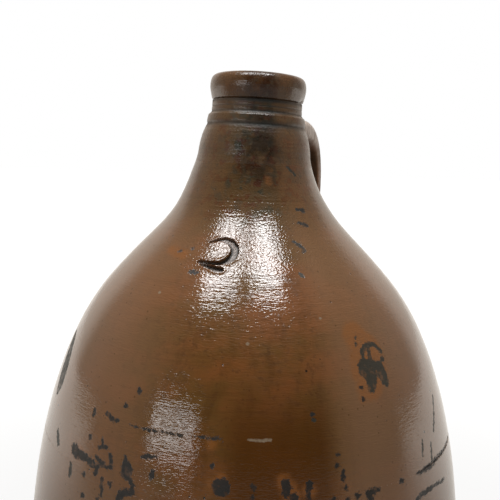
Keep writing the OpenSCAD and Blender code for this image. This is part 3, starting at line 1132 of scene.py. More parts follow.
@dataclass
class Handle:
    """The pulled strap with a finger channel, from its root on the neck to its terminal on the shoulder."""

    shape: JugShape
    neck: Neck
    turn: float = 65.0
    root_z: float = 19.8
    rise: float = 14.0
    reach: float = 70.2
    drop: float = 38.0
    fall: float = 66.0
    top_w: float = 30.0
    end_w: float = 25.0
    top_t: float = 12.5
    end_t: float = 9.0
    channel_depth: float = 1.2
    channel_share: float = 0.55
    root_len: float = 7.0
    terminal_len: float = 9.0
    root_fillet: float = 4.0
    terminal_fillet: float = 5.0
    power: float = 3.6
    crown_pull: float = 0.62
    crown_lift: float = 0.84
    grip_pull: float = 0.38
    end_pull: float = 0.3
    overrun: float = 3.0
    fine_end: float = 16.0
    smear_reach: float = 2.2
    smear_rounds: int = 6
    smear_pace: float = 0.6
    # painted shade on the strap's inner face under its crown: its share and its heights
    painted_shade_share: float = 0.65
    painted_shade_z: Span = (332.0, 326.0)
    points: int = 96
    step: float = 0.8

    @property
    def root_face(self) -> Vector:
        """The strap's start in the handle's plane, as distance from the axis and height."""
        return Vector((self.neck.collar(self.root_z) + self.root_len, self.shape.neck_z + self.root_z))

    @property
    def strap_end(self) -> Vector:
        """The strap's end in the handle's plane."""
        return self.shape.flare_bend().at(0.2) + self.terminal_len * self.level(self.fall)

    @staticmethod
    def level(degrees: float) -> Vector:
        """Returns the direction that rises by so many degrees, going out."""
        return Vector((math.cos(math.radians(degrees)), math.sin(math.radians(degrees))))

    def bends(self) -> list[Bend]:
        """Returns the middle line: into the neck, over the crown, down the grip, into the shoulder.

        Returns:
            The four stretches, from root to terminal.
        """
        root, end = self.root_face, self.strap_end
        grip = Vector((self.reach, root.y - self.drop))
        out = self.level(self.rise)
        down = self.level(self.fall)
        crown_run, grip_run = grip.x - root.x, grip.y - end.y
        lift, pull = Vector((0.0, self.drop * self.crown_lift)), Vector((0.0, grip_run * self.grip_pull))
        return [
            Bend.straight(root - (self.root_len + self.overrun) * out, root),
            Bend(root, root + crown_run * self.crown_pull * out, grip + lift, grip),
            Bend(grip, grip - pull, end + grip_run * self.end_pull * down, end),
            Bend.straight(end, end - (self.terminal_len + self.overrun) * down),
        ]

    def lengths(self) -> list[float]:
        """Returns the length along the middle line at each bend's end.

        Returns:
            The lengths, the last of them the whole line's.
        """
        total = 0.0
        result = []
        for bend in self.bends():
            fine = bend.fine()
            total += sum((b - a).length for a, b in zip(fine, fine[1:]))
            result.append(total)
        return result

    def section(self) -> list[tuple[float, float]]:
        """Returns the strap's section with sides of 1: across its thickness and across its width.

        Returns:
            The places round the section.
        """
        ring = []
        for i in range(self.points):
            angle = math.tau * i / self.points
            sides = math.sin(angle), math.cos(angle)
            ring.append(tuple(math.copysign(abs(side) ** (2.0 / self.power), side) for side in sides))
        return ring

    def bar(self) -> Piece:
        """Pulls the strap straight along X: one section, drawn out ring by ring as it tapers.

        Returns:
            The straight strap, its thickness along Y and its width along Z.
        """
        total = self.lengths()[-1]
        deselect()
        bpy.ops.mesh.primitive_circle_add(
            vertices=self.points, radius=1.0, fill_type="NGON", rotation=(0.0, math.pi / 2.0, 0.0)
        )
        piece = bpy.context.object
        piece.name = "pulled_handle"
        only(piece)
        bpy.ops.object.transform_apply(location=True, rotation=True, scale=True)
        for vertex, (out, across) in zip(piece.data.vertices, self.section()):
            vertex.co = Vector((0.0, out * self.top_t / 2.0 * MM, -across * self.top_w / 2.0 * MM))
        editing(piece)
        place = 0.0
        while place < total - 0.01:
            near_end = place < self.fine_end or place > total - self.fine_end
            step = min(self.step * (0.5 if near_end else 1.0), total - place)
            before, after = self.size_at(place / total), self.size_at((place + step) / total)
            place += step
            bpy.ops.mesh.extrude_region_move(TRANSFORM_OT_translate={"value": (step * MM, 0.0, 0.0)})
            bpy.ops.transform.resize(
                value=(1.0, after[1] / before[1], after[0] / before[0]),
                center_override=(place * MM, 0.0, 0.0),
            )
        bpy.ops.mesh.select_all(action="SELECT")
        bpy.ops.mesh.normals_make_consistent(inside=False)
        bpy.ops.object.mode_set(mode="OBJECT")
        return piece

    def size_at(self, share: float) -> tuple[float, float]:
        """Returns the strap's width and thickness at a share of its length."""
        thick = self.top_t + (self.end_t - self.top_t) * share
        return self.top_w + (self.end_w - self.top_w) * share, thick

    def groove(self, piece: Piece) -> None:
        """Draws the finger channel and the fine lines of the pull along the strap.

        Args:
            piece: the straight strap.
        """
        total = self.lengths()[-1]

        def channel(point: Vector, _: Vector) -> float:
            """Gives the share of the finger channel's depth at a point."""
            share = abs(point.z) / (self.size_at(point.x / total)[0] / 2.0) / self.channel_share
            return math.cos(math.pi / 2.0 * share) ** 2 if share < 1.0 and point.y > 0.0 else 0.0

        def drawn(point: Vector, _: Vector) -> float:
            """Gives how high the lines of the pull stand at a point.

            Args:
                point: a point in millimetres.

            Returns:
                The share at that point.
            """
            side = math.atan2(point.y, point.z)
            line = 0.5 + 0.5 * math.sin(17.0 * side + 0.6 * math.sin(point.x / 13.0))
            return line * (0.4 + 0.6 * abs(math.sin(point.x / 31.0 + 3.0 * side)))

        press(piece, "channel", -self.channel_depth, channel)
        press(piece, "drawn", 0.12, drawn)

    def curved(self, piece: Piece) -> None:
        """Bends the straight strap along its middle line and turns it to its place beside the neck.

        Args:
            piece: the straight strap.
        """
        bends = self.bends()
        deselect()
        bpy.ops.curve.primitive_bezier_curve_add()
        path = bpy.context.object
        path.data.dimensions = "2D"
        path.data.resolution_u = 64
        spline = path.data.splines[0]
        spline.bezier_points.add(len(bends) + 1 - len(spline.bezier_points))
        for i, knot in enumerate(spline.bezier_points):
            knot.handle_left_type = "FREE"
            knot.handle_right_type = "FREE"
            after = bends[min(i, len(bends) - 1)]
            before = bends[max(i - 1, 0)]
            knot.co = (after.start if i < len(bends) else before.end).to_3d() * MM
            knot.handle_right = (after.leave if i < len(bends) else before.end).to_3d() * MM
            knot.handle_left = (before.arrive if i > 0 else after.start).to_3d() * MM
        only(piece)
        bender = piece.modifiers.new("pull", "CURVE")
        bender.object = path
        bender.deform_axis = "POS_X"
        bpy.ops.object.modifier_apply(modifier=bender.name)
        piece.rotation_euler = (math.pi / 2.0, 0.0, math.radians(self.turn))
        bpy.ops.object.transform_apply(location=False, rotation=True, scale=False)
        bpy.data.objects.remove(path)

    def gap(self, point: Vector) -> float:
        """Returns a point's distance from the neck's or the shoulder's surface, whichever is nearer.

        Args:
            point: the point in millimetres.

        Returns:
            The distance, below 0 inside the wall.
        """
        s = self.shape
        out = point.xy.length
        if point.z < s.neck_z - 12.0:
            return (out - s.radius(point.z)) / s.climb(point.z)
        back = Matrix.Rotation(-math.radians(s.neck_tilt), 3, "Y") @ (point - Vector((0.0, 0.0, s.neck_z)))
        side = self.neck.lines
        wall = radius_on(side, back.z) if back.z < side[-1].y else self.neck.collar(back.z)
        return back.xy.length - wall

    def smear(self, piece: Piece, name: str, fillet: float, high: bool) -> None:
        """Spreads the strap's end over what carries it, as a thumb smears the wet clay.

        Args:
            piece: the curved strap.
            name: the vertex group's name.
            fillet: the radius of the smeared corner.
            high: whether this is the end on the neck.
        """
        middle = self.shape.neck_z - 6.0

        def spread(point: Vector, normal: Vector) -> float:
            """Gives how far the clay is spread at a point.

            Args:
                point: a point in millimetres.
                normal: its normal.

            Returns:
                The share at that point.
            """
            if (point.z > middle) != high or self.gap(point) > fillet * self.smear_reach:
                return 0.0
            moved = 0.0
            for _ in range(self.smear_rounds):
                near = min(max(self.gap(point + moved * normal) / fillet, 0.0), 1.0)
                wanted = fillet * (1.0 - math.sqrt(1.0 - (1.0 - near) ** 2))
                moved += self.smear_pace * (wanted - moved)
            return moved / fillet

        press(piece, name, fillet, spread)

    def part(self, whole: Piece, name: str, cuts: Sequence[tuple[Vector, Vector]]) -> Piece:
        """Copies the whole handle and keeps what lies on the far side of each cut.

        Args:
            whole: the whole handle.
            name: the new piece's name.
            cuts: for each cut a point of the handle's plane and the direction of what is kept.

        Returns:
            The piece, closed by a flat face at each cut.
        """
        piece = whole.copy()
        piece.data = whole.data.copy()
        piece.name = name
        bpy.context.collection.objects.link(piece)
        turn = Matrix.Rotation(math.radians(self.turn), 3, "Z")
        for point, keep in cuts:
            editing(piece)
            bpy.ops.mesh.bisect(
                plane_co=turn @ Vector((point.x, 0.0, point.y)) * MM,
                plane_no=turn @ Vector((keep.x, 0.0, keep.y)),
                use_fill=True,
                clear_inner=True,
            )
            bpy.ops.object.mode_set(mode="OBJECT")
        smooth(piece, 50.0)
        return piece

    def smoke_and_painted_shade(self, point: Vector, normal: Vector) -> float:
        """Returns the share of painted shade at a point, by how far it faces the jug under the strap's
        crown.

        Args:
            point: a point in millimetres.
            normal: its normal.

        Returns:
            The share at that point.
        """
        out = Vector((math.cos(math.radians(self.turn)), math.sin(math.radians(self.turn)), 0.0))
        facing = max(-normal.dot(out), -normal.z * 0.9)
        clear = ease(self.gap(point), 1.0, 8.0)
        return self.painted_shade_share * ease(facing, 0.4, 0.85) * clear * ease(point.z, *self.painted_shade_z)

    def build(self) -> tuple[Piece, Piece, Piece]:
        """Makes the whole handle and parts it at the joints of the solids.

        Returns:
            The root, the strap and the terminal.
        """
        whole = self.bar()
        self.groove(whole)
        self.curved(whole)
        self.smear(whole, "root_smear", self.root_fillet, True)
        self.smear(whole, "terminal_smear", self.terminal_fillet, False)
        # paints shade onto the strap's inner face, which the glaze darkens as it does pooled glaze
        paint(whole, "pooled_glaze_and_painted_shade", self.smoke_and_painted_shade)
        out, down = self.level(self.rise), self.level(self.fall)
        root = self.part(whole, "handle_root_clay", [(self.root_face, -out)])
        strap = self.part(whole, "pulled_strap", [(self.root_face, out), (self.strap_end, down)])
        terminal = self.part(whole, "handle_terminal_clay", [(self.strap_end, -down)])
        only(terminal)
        bpy.data.objects.remove(whole)
        return root, strap, terminal


class Nodes:
    """Places shader nodes in one tree and joins them."""

    def __init__(self, tree: Tree) -> None:
        """Takes the tree to work in."""
        self.tree = tree

    @classmethod
    def of(cls, owner: Material | bpy.types.World) -> "Nodes":
        """Empties a material's or a world's tree and returns its nodes.

        Args:
            owner: the material or world.

        Returns:
            The nodes of its empty tree.
        """
        owner.use_nodes = True
        owner.node_tree.nodes.clear()
        return cls(owner.node_tree)

    def add(self, kind: str, **settings: object) -> bpy.types.Node:
        """Adds a node and sets its own properties.

        Args:
            kind: the node's type.
            settings: property names and values.

        Returns:
            The node.
        """
        node = self.tree.nodes.new(kind)
        for name, value in settings.items():
            setattr(node, name, value)
        return node

    def feed(self, socket: Socket, value: Value) -> None:
        """Joins an output to a socket, or sets the socket's own value.

        Args:
            socket: the input.
            value: an output, a colour or a number.
        """
        if isinstance(value, Socket):
            self.tree.links.new(value, socket)
        elif isinstance(value, tuple) and len(value) == 3 and socket.type == "RGBA":
            socket.default_value = (*value, 1.0)
        else:
            socket.default_value = value

    def math(self, operation: str, *values: Value) -> Socket:
        """Adds a Math node on the given values and returns its result.

        Args:
            operation: the node's operation.
            values: its inputs, in order.

        Returns:
            The result.
        """
        node = self.add("ShaderNodeMath", operation=operation)
        for socket, value in zip(node.inputs, values):
            self.feed(socket, value)
        return node.outputs[0]

    def product(self, *values: Value) -> Socket:
        """Multiplies the values in turn and returns the result."""
        return reduce(lambda before, value: self.math("MULTIPLY", before, value), values)

    def total(self, *values: Value) -> Socket:
        """Adds the values up in turn and returns the result."""
        return reduce(lambda before, value: self.math("ADD", before, value), values)

    def limits(self, value: Value, low: Value, high: Value, start: float = 0.0, end: float = 1.0) -> Socket:
        """Maps a value smoothly from one range to another.

        Args:
            value: the value to map.
            low: where the result is start.
            high: where the result is end.
            start: the result at low.
            end: the result at high.

        Returns:
            The mapped value's socket.
        """
        node = self.add("ShaderNodeMapRange", interpolation_type="SMOOTHSTEP")
        for name, number in (("From Min", low), ("From Max", high), ("To Min", start), ("To Max", end)):
            self.feed(node.inputs[name], number)
        self.feed(node.inputs["Value"], value)
        return node.outputs["Result"]

    def mix(self, share: Value, below: Value, above: Value) -> Socket:
        """Mixes two colours by a share and returns the result.

        Args:
            share: how much of above shows.
            below: one colour.
            above: the other.

        Returns:
            The mixed colour.
        """
        node = self.add("ShaderNodeMix", data_type="RGBA")
        self.feed(node.inputs[0], share)
        self.feed(node.inputs[6], below)
        self.feed(node.inputs[7], above)
        return node.outputs[2]

    def spot(self) -> Socket:
        """Adds the object's own coordinates, in metres, and returns them."""
        return self.add("ShaderNodeTexCoord").outputs["Object"]

    def parts(self, vector: Value) -> Outputs:
        """Splits a vector and returns its X, Y and Z.

        Args:
            vector: the vector.

        Returns:
            The three outputs.
        """
        node = self.add("ShaderNodeSeparateXYZ")
        self.feed(node.inputs[0], vector)
        return node.outputs

    def noise(self, vector: Value, scale: float, detail: float, rough: float) -> Socket:
        """Adds a noise texture and returns its factor.

        Args:
            vector: where to read it.
            scale: its scale.
            detail: its detail.
            rough: its roughness.

        Returns:
            The factor.
        """
        node = self.add("ShaderNodeTexNoise")
        self.feed(node.inputs["Vector"], vector)
        self.feed(node.inputs["Scale"], scale)
        self.feed(node.inputs["Detail"], detail)
        self.feed(node.inputs["Roughness"], rough)
        return node.outputs["Fac"]

    def drawn(self, vector: Value, scale: Spot, detail: float = 3.0, rough: float = 0.6) -> Socket:
        """Adds a noise texture with its own scale along each axis and returns its factor.

        Args:
            vector: where to read it.
            scale: its scale along X, Y and Z.
            detail: its detail.
            rough: its roughness.

        Returns:
            The factor.
        """
        node = self.add("ShaderNodeMapping")
        self.feed(node.inputs["Vector"], vector)
        self.feed(node.inputs["Scale"], scale)
        return self.noise(node.outputs["Vector"], 1.0, detail, rough)

    def group(self, tree: Tree, **values: Value) -> bpy.types.Node:
        """Places a node group and feeds its inputs, whose names are written with underscores.

        Args:
            tree: the group.
            values: its inputs by name.

        Returns:
            The node.
        """
        node = self.add("ShaderNodeGroup", node_tree=tree)
        for name, value in values.items():
            self.feed(node.inputs[name.replace("_", " ")], value)
        return node


class Effects:
    """The surface effects that the glazes share, each a node group that is built once.

    A mark's torn edge lies within reach of it, in millimetres.
    """

    reach: float = 2.9

    def __init__(self) -> None:
        """Builds the groups."""
        self.place = self.build_place()
        self.mark = self.build_mark()
        self.speckle = self.build_speckle()
        self.peel = self.build_peel()

    @staticmethod
    def start(
        name: str, inputs: dict[str, float], result: Sequence[str]
    ) -> tuple[Nodes, Outputs, bpy.types.NodeInputs]:
        """Starts a node group on plain numbers.

        Args:
            name: the group's name.
            inputs: the name and the usual value of each input.
            result: the name of each output.

        Returns:
            The group's nodes, what comes in and what goes out.
        """
        tree = bpy.data.node_groups.new(name, "ShaderNodeTree")
        for label, value in inputs.items():
            socket = tree.interface.new_socket(name=label, in_out="INPUT", socket_type="NodeSocketFloat")
            socket.default_value = value
        for label in result:
            tree.interface.new_socket(name=label, in_out="OUTPUT", socket_type="NodeSocketFloat")
        n = Nodes(tree)
        return n, n.add("NodeGroupInput").outputs, n.add("NodeGroupOutput").inputs

    def build_place(self) -> Tree:
        """Builds the group that turns object coordinates into degrees round the jug and millimetres up.

        Returns:
            The group.
        """
        n, _, out = self.start("Jug place", {}, ["Azimuth", "Height"])
        parts = n.parts(n.spot())
        turn = n.math("ARCTAN2", parts["X"], n.product(parts["Y"], -1.0))
        n.feed(out["Azimuth"], n.product(turn, math.degrees(1.0)))
        n.feed(out["Height"], n.product(parts["Z"], 1.0 / MM))
        return n.tree

    def build_mark(self) -> Tree:
        """Builds the group that turns a mark's depth into a mask with a torn edge.

        Returns:
            The group.
        """
        n, into, out = self.start("Kiln mark", {"Depth": 1.0, "Torn": 1.0, "Soft": 1.0}, ["Mask"])
        spot = n.spot()
        grain = n.math("SUBTRACT", n.noise(spot, 620.0, 3.0, 0.7), 0.5)
        depth = n.math("MULTIPLY_ADD", grain, into["Torn"], n.total(into["Depth"], 0.05))
        share = n.math("DIVIDE", depth, into["Soft"])
        thin = n.limits(n.noise(spot, 330.0, 2.0, 0.6), 0.28, 0.5, 0.55, 1.0)
        near = n.limits(into["Depth"], -self.reach, n.math("SUBTRACT", into["Soft"], self.reach))
        n.feed(out["Mask"], n.product(n.limits(share, -1.0, 0.1), thin, near))
        return n.tree

    def build_speckle(self) -> Tree:
        """Builds the group that masks small iron specks.

        Returns:
            The group.
        """
        n, into, out = self.start("Iron specks", {"Scale": 300.0, "Amount": 0.5, "Size": 0.2}, ["Mask"])
        cells = n.add("ShaderNodeTexVoronoi")
        n.feed(cells.inputs["Vector"], n.spot())
        n.feed(cells.inputs["Scale"], into["Scale"])
        chance = n.add("ShaderNodeSeparateColor")
        n.feed(chance.inputs[0], cells.outputs["Color"])
        there = n.math("LESS_THAN", chance.outputs[0], into["Amount"])
        reach = n.product(into["Size"], n.total(chance.outputs[1], 0.4))
        near = n.math("DIVIDE", cells.outputs["Distance"], reach)
        n.feed(out["Mask"], n.product(there, n.limits(near, 1.0, 0.55)))
        return n.tree

    def build_peel(self) -> Tree:
        """Builds the group that gives the glaze's relief: orange peel, throwing lines and slow dents.

        Returns:
            The group.
        """
        n, into, out = self.start("Orange peel", {"Height": 0.0}, ["Relief"])
        spot = n.spot()
        round_grain = n.drawn(spot, (900.0, 900.0, 1100.0), 1.5, 0.5)
        long_grain = n.drawn(spot, (400.0, 400.0, 1750.0), 1.5, 0.5)
        share = n.limits(into["Height"], 268.0, 256.0)
        fine = n.total(n.product(n.math("SUBTRACT", long_grain, round_grain), share), round_grain)
        lines = n.drawn(spot, (60.0, 60.0, 900.0), 1.0, 0.4)
        dents = n.drawn(spot, (45.0, 45.0, 90.0), 1.0, 0.5)
        n.feed(out["Relief"], n.total(fine, n.product(lines, 0.5), dents))
        return n.tree


@dataclass(frozen=True)
class Glaze:
    """The salt glaze over iron-bearing clay; its spans are degrees round the jug or millimetres up it."""

    name: str
    amber: Shade = (0.190, 0.090, 0.023)
    russet: Shade = (0.285, 0.102, 0.029)
    deep: Shade = (0.110, 0.044, 0.010)
    low: Shade = (0.115, 0.038, 0.004)
    smoke: Shade = (0.115, 0.070, 0.029)
    painted_dark_reflection: Shade = (0.022, 0.012, 0.006)
    flame: Shade = (0.085, 0.024, 0.009)
    moss: Shade = (0.046, 0.052, 0.034)
    painted_crown_highlight: Shade = (0.940, 0.780, 0.670)
    crest: Shade = (0.050, 0.015, 0.004)
    ash: Shade = (0.115, 0.080, 0.050)
    pool_and_shade_colour: Shade = (0.012, 0.016, 0.013)
    painted_side_light: Shade = (0.330, 0.172, 0.085)
    smoke_z: Span = (266.0, 306.0)
    smoke_top: Span = (352.0, 344.0)
    smoke_side: Span = (15.0, 45.0)
    painted_dark_reflection_left: Span = (-26.0, 0.0)
    painted_dark_reflection_right: Span = (36.0, 14.0)
    painted_shade_z: Span = (298.0, 312.0)
    crest_left: Span = (-22.0, 8.0)
    crest_right: Span = (75.0, 45.0)
    crest_z: Span = (344.0, 350.0)
    painted_side_light_left: Span = (-12.0, -42.0)
    painted_side_light_right: Span = (15.0, 30.0)
    painted_side_light_z: Span = (305.0, 262.0)
    painted_crown_highlight_z: Span = (322.0, 331.0)
    low_left: Span = (-9.0, 0.0)
    low_right: Span = (24.0, 17.0)
    low_z: Span = (232.0, 196.0)
    speck_z: Span = (300.0, 190.0)
    dull_from: Span = (296.0, 314.0)
    dull_to: Span = (349.0, 344.0)
    calm_side: Span = (62.0, 36.0)
    calm_z: Span = (215.0, 245.0)
    smoke_share: float = 0.0
    painted_crown_highlight_share: float = 0.0
    gloss: float = 0.17
    dullest: float = 0.32
    relief: float = 0.11
    dull_neck: float = 0.06
    scar: float = 0.5
    mirror: float = 0.75
    ior: float = 1.6
    side_relief: float = 0.4
    fired: bool = False

    def ground(self, n: Nodes, spot: Socket, mottle: Socket) -> Socket:
        """Colours the plain glaze: clouds of amber and russet, darker bands, runs and mottling.

        Args:
            n: the material's nodes.
            spot: the object's coordinates.
            mottle: the noise of the mottling.

        Returns:
            The colour.
        """
        cloud = n.drawn(spot, (26.0, 26.0, 39.0), 4.0)
        bands = n.drawn(spot, (22.0, 22.0, 420.0))
        runs = n.drawn(spot, (150.0, 150.0, 9.0))
        colour = n.mix(n.limits(cloud, 0.38, 0.64), self.amber, self.russet)
        colour = n.mix(n.limits(bands, 0.50, 0.74, 0.0, 0.32), colour, self.deep)
        colour = n.mix(n.limits(runs, 0.46, 0.70, 0.0, 0.4), colour, self.deep)
        return n.mix(n.limits(mottle, 0.52, 0.72, 0.0, 0.5), colour, self.deep)

    def smoke_and_painted_shade(self, n: Nodes, spot: Socket, place: Outputs, colour: Socket) -> Socket:
        """Lays the kiln's smoke and ash over the colour towards the neck, and a painted dark reflection on
        the front of the neck's foot.

        Args:
            n: the material's nodes.
            spot: the object's coordinates.
            place: the degrees round the jug and the millimetres up it.
            colour: the colour so far.

        Returns:
            The colour.
        """
        azimuth, height = place["Azimuth"], place["Height"]
        blotch = n.noise(spot, 95.0, 3.0, 0.6)
        smoke = n.product(
            n.limits(height, *self.smoke_z, 0.0, self.smoke_share),
            n.limits(height, *self.smoke_top, 0.2, 1.0),
            n.limits(blotch, 0.38, 0.62, 0.72, 1.0),
            n.limits(n.math("ABSOLUTE", azimuth), *self.smoke_side, 1.0, 0.65),
        )
        flecked = n.mix(n.limits(n.noise(spot, 210.0, 2.0, 0.6), 0.53, 0.60), self.smoke, self.flame)
        flecked = n.mix(n.limits(n.noise(spot, 170.0, 3.0, 0.6), 0.52, 0.62), flecked, self.moss)
        # painted dark reflection: the front of the neck's foot is darkened where it faces the studio's dark
        # front
        painted_dark_reflection_share = n.product(
            n.limits(azimuth, *self.painted_dark_reflection_left),
            n.limits(azimuth, *self.painted_dark_reflection_right),
            n.limits(height, *self.painted_shade_z),
            n.limits(n.noise(spot, 120.0, 3.0, 0.65), 0.34, 0.6, 0.1, 0.8),
            self.smoke_share,
        )
        crest = n.product(
            n.limits(height, *self.crest_z),
            n.limits(blotch, 0.66, 0.45, 0.35, 0.9),
            n.limits(azimuth, *self.crest_left, 0.25, 1.0),
            n.limits(azimuth, *self.crest_right, 0.25, 1.0),
        )
        ashen = n.limits(n.drawn(spot, (150.0, 150.0, 90.0), 3.0, 0.65), 0.44, 0.6)
        colour = n.mix(painted_dark_reflection_share, n.mix(smoke, colour, flecked), self.painted_dark_reflection)
        return n.mix(crest, colour, n.mix(ashen, self.crest, self.ash))

    def toned(self, n: Nodes, spot: Socket, place: Outputs, colour: Socket) -> Socket:
        """Paints light onto the sides as a lighter, redder colour, paints a highlight onto the strap's
        crown and darkens the glaze low in front.

        Args:
            n: the material's nodes.
            spot: the object's coordinates.
            place: the degrees round the jug and the millimetres up it.
            colour: the colour so far.

        Returns:
            The colour.
        """
        azimuth, height = place["Azimuth"], place["Height"]
        # painted side light: a lighter, redder colour towards both sides, most below the shoulder
        left, right = (n.limits(azimuth, *span, 0.0, 0.7) for span in (self.painted_side_light_left, self.painted_side_light_right))
        painted_side_light = n.product(n.math("MAXIMUM", right, left), n.limits(height, *self.painted_side_light_z, 0.35, 1.0))
        # painted highlight: a pale streaked colour over the strap's crown
        streak = n.limits(n.drawn(spot, (420.0, 420.0, 60.0)), 0.40, 0.56, 0.55, 1.0)
        painted_crown_highlight_mask = n.product(streak, n.limits(height, *self.painted_crown_highlight_z), self.painted_crown_highlight_share)
        # the colour turns darker low on the front
        run = n.product(
            n.limits(azimuth, *self.low_left),
            n.limits(azimuth, *self.low_right),
            n.limits(height, *self.low_z, 0.0, 0.85),
        )
        colour = n.mix(painted_crown_highlight_mask, n.mix(painted_side_light, colour, self.painted_side_light), self.painted_crown_highlight)
        return n.mix(run, colour, self.low)

    def make(self, effects: Effects) -> Material:
        """Builds the material.

        Args:
            effects: the shared node groups.

        Returns:
            The material.
        """
        material = bpy.data.materials.new(self.name)
        n = Nodes.of(material)
        shader = n.add("ShaderNodeBsdfPrincipled")
        n.feed(n.add("ShaderNodeOutputMaterial").inputs[0], shader.outputs[0])
        spot, place = n.spot(), n.group(effects.place).outputs
        azimuth, height = place["Azimuth"], place["Height"]
        mottle = n.noise(spot, 310.0, 3.0, 0.65)
        small = n.group(effects.speckle, Scale=420.0, Amount=0.30, Size=0.20).outputs["Mask"]
        large = n.group(effects.speckle, Scale=170.0, Amount=0.28, Size=0.10).outputs["Mask"]

        colour = self.smoke_and_painted_shade(n, spot, place, self.ground(n, spot, mottle))
        colour = self.toned(n, spot, place, colour)
        colour = n.mix(n.product(small, 0.55), colour, self.deep)
        large_share = n.product(large, n.limits(height, *self.speck_z, 0.25, 1.0))
        colour = n.mix(large_share, colour, Tone.IRON.value)
        dull = n.product(n.limits(height, *self.dull_from), n.limits(height, *self.dull_to), self.dull_neck)
        rough = n.total(n.limits(mottle, 0.35, 0.7, self.gloss, self.dullest), dull)
        pits = n.total(n.product(small, 0.25), n.product(large, 0.5))
        if self.fired:
            for tone in (Tone.RUST, Tone.PALE, Tone.SLATE, Tone.IRON):
                depth = n.add("ShaderNodeAttribute", attribute_name=tone.name.lower()).outputs["Fac"]
                torn, soft, strength = tone.edge
                mask = n.group(effects.mark, Depth=depth, Torn=torn, Soft=soft).outputs["Mask"]
                mask = n.product(mask, strength)
                colour = n.mix(mask, colour, tone.value)
                if tone in (Tone.IRON, Tone.SLATE):
                    rough = n.total(rough, n.product(mask, self.scar))
                    pits = n.total(pits, n.product(mask, 0.4))
        # glaze pooled in the neck's grooves and the stamp, and painted shade on the strap's inner face and
        # the stamp's walls, darken the colour here
        pooled_glaze_and_painted_shade = n.add("ShaderNodeAttribute", attribute_name="pooled_glaze_and_painted_shade").outputs["Fac"]
        peel = n.group(effects.peel, Height=height).outputs["Relief"]
        calm = n.limits(n.math("ABSOLUTE", azimuth), *self.calm_side, self.side_relief, 1.0)
        calm = n.product(calm, n.limits(height, *self.calm_z, 0.6, 1.0))
        bump = n.add("ShaderNodeBump")
        for socket, value in (
            (bump.inputs["Strength"], 1.0),
            (bump.inputs["Distance"], self.relief * MM),
            (bump.inputs["Height"], n.product(n.math("SUBTRACT", peel, pits), calm)),
            (shader.inputs["Base Color"], n.mix(n.product(pooled_glaze_and_painted_shade, 0.95), colour, self.pool_and_shade_colour)),
            (shader.inputs["Roughness"], n.total(rough, n.product(pooled_glaze_and_painted_shade, 0.45))),
            (shader.inputs["Normal"], bump.outputs["Normal"]),
            (shader.inputs["IOR"], self.ior),
            (shader.inputs["Specular IOR Level"], self.mirror),
        ):
            n.feed(socket, value)
        return material


@dataclass(frozen=True)
class Camera:
    """The camera at the photograph's viewing angle, solved from the jug's outline."""

    lens: float = 50.4
    place: Spot = (-0.0008, -0.3821, 0.31425)
    pitch: float = -7.0
    roll: float = 1.47

    def build(self) -> None:
        """Adds the camera and makes it the scene's."""
        data = bpy.data.cameras.new("photo_camera")
        data.lens = self.lens
        data.sensor_width = 36.0
        data.clip_start = 0.01
        camera = bpy.data.objects.new("photo_camera", data)
        turn = Matrix.Rotation(math.radians(90.0 + self.pitch), 4, "X")
        turn = turn @ Matrix.Rotation(math.radians(self.roll), 4, "Z")
        camera.matrix_world = Matrix.Translation(self.place) @ turn
        bpy.context.scene.collection.objects.link(camera)
        bpy.context.scene.camera = camera


@dataclass(frozen=True)
class SoftBox:
    """A flat soft light that looks at a point of the jug."""

    name: str
    place: Spot
    aim: Spot
    width: float
    depth: float
    radiance: float
    mirrored: bool = True

    def build(self) -> None:
        """Adds the light, with a power that gives its face the wanted radiance."""
        data = bpy.data.lights.new(self.name, "AREA")
        data.shape = "RECTANGLE"
        data.size = self.width
        data.size_y = self.depth
        data.energy = self.radiance * math.pi * self.width * self.depth
        lamp = bpy.data.objects.new(self.name, data)
        lamp.location = self.place
        way = Vector(self.aim) - Vector(self.place)
        lamp.rotation_euler = way.to_track_quat("-Z", "Y").to_euler()
        lamp.visible_camera = False
        lamp.visible_glossy = self.mirrored
        bpy.context.scene.collection.objects.link(lamp)


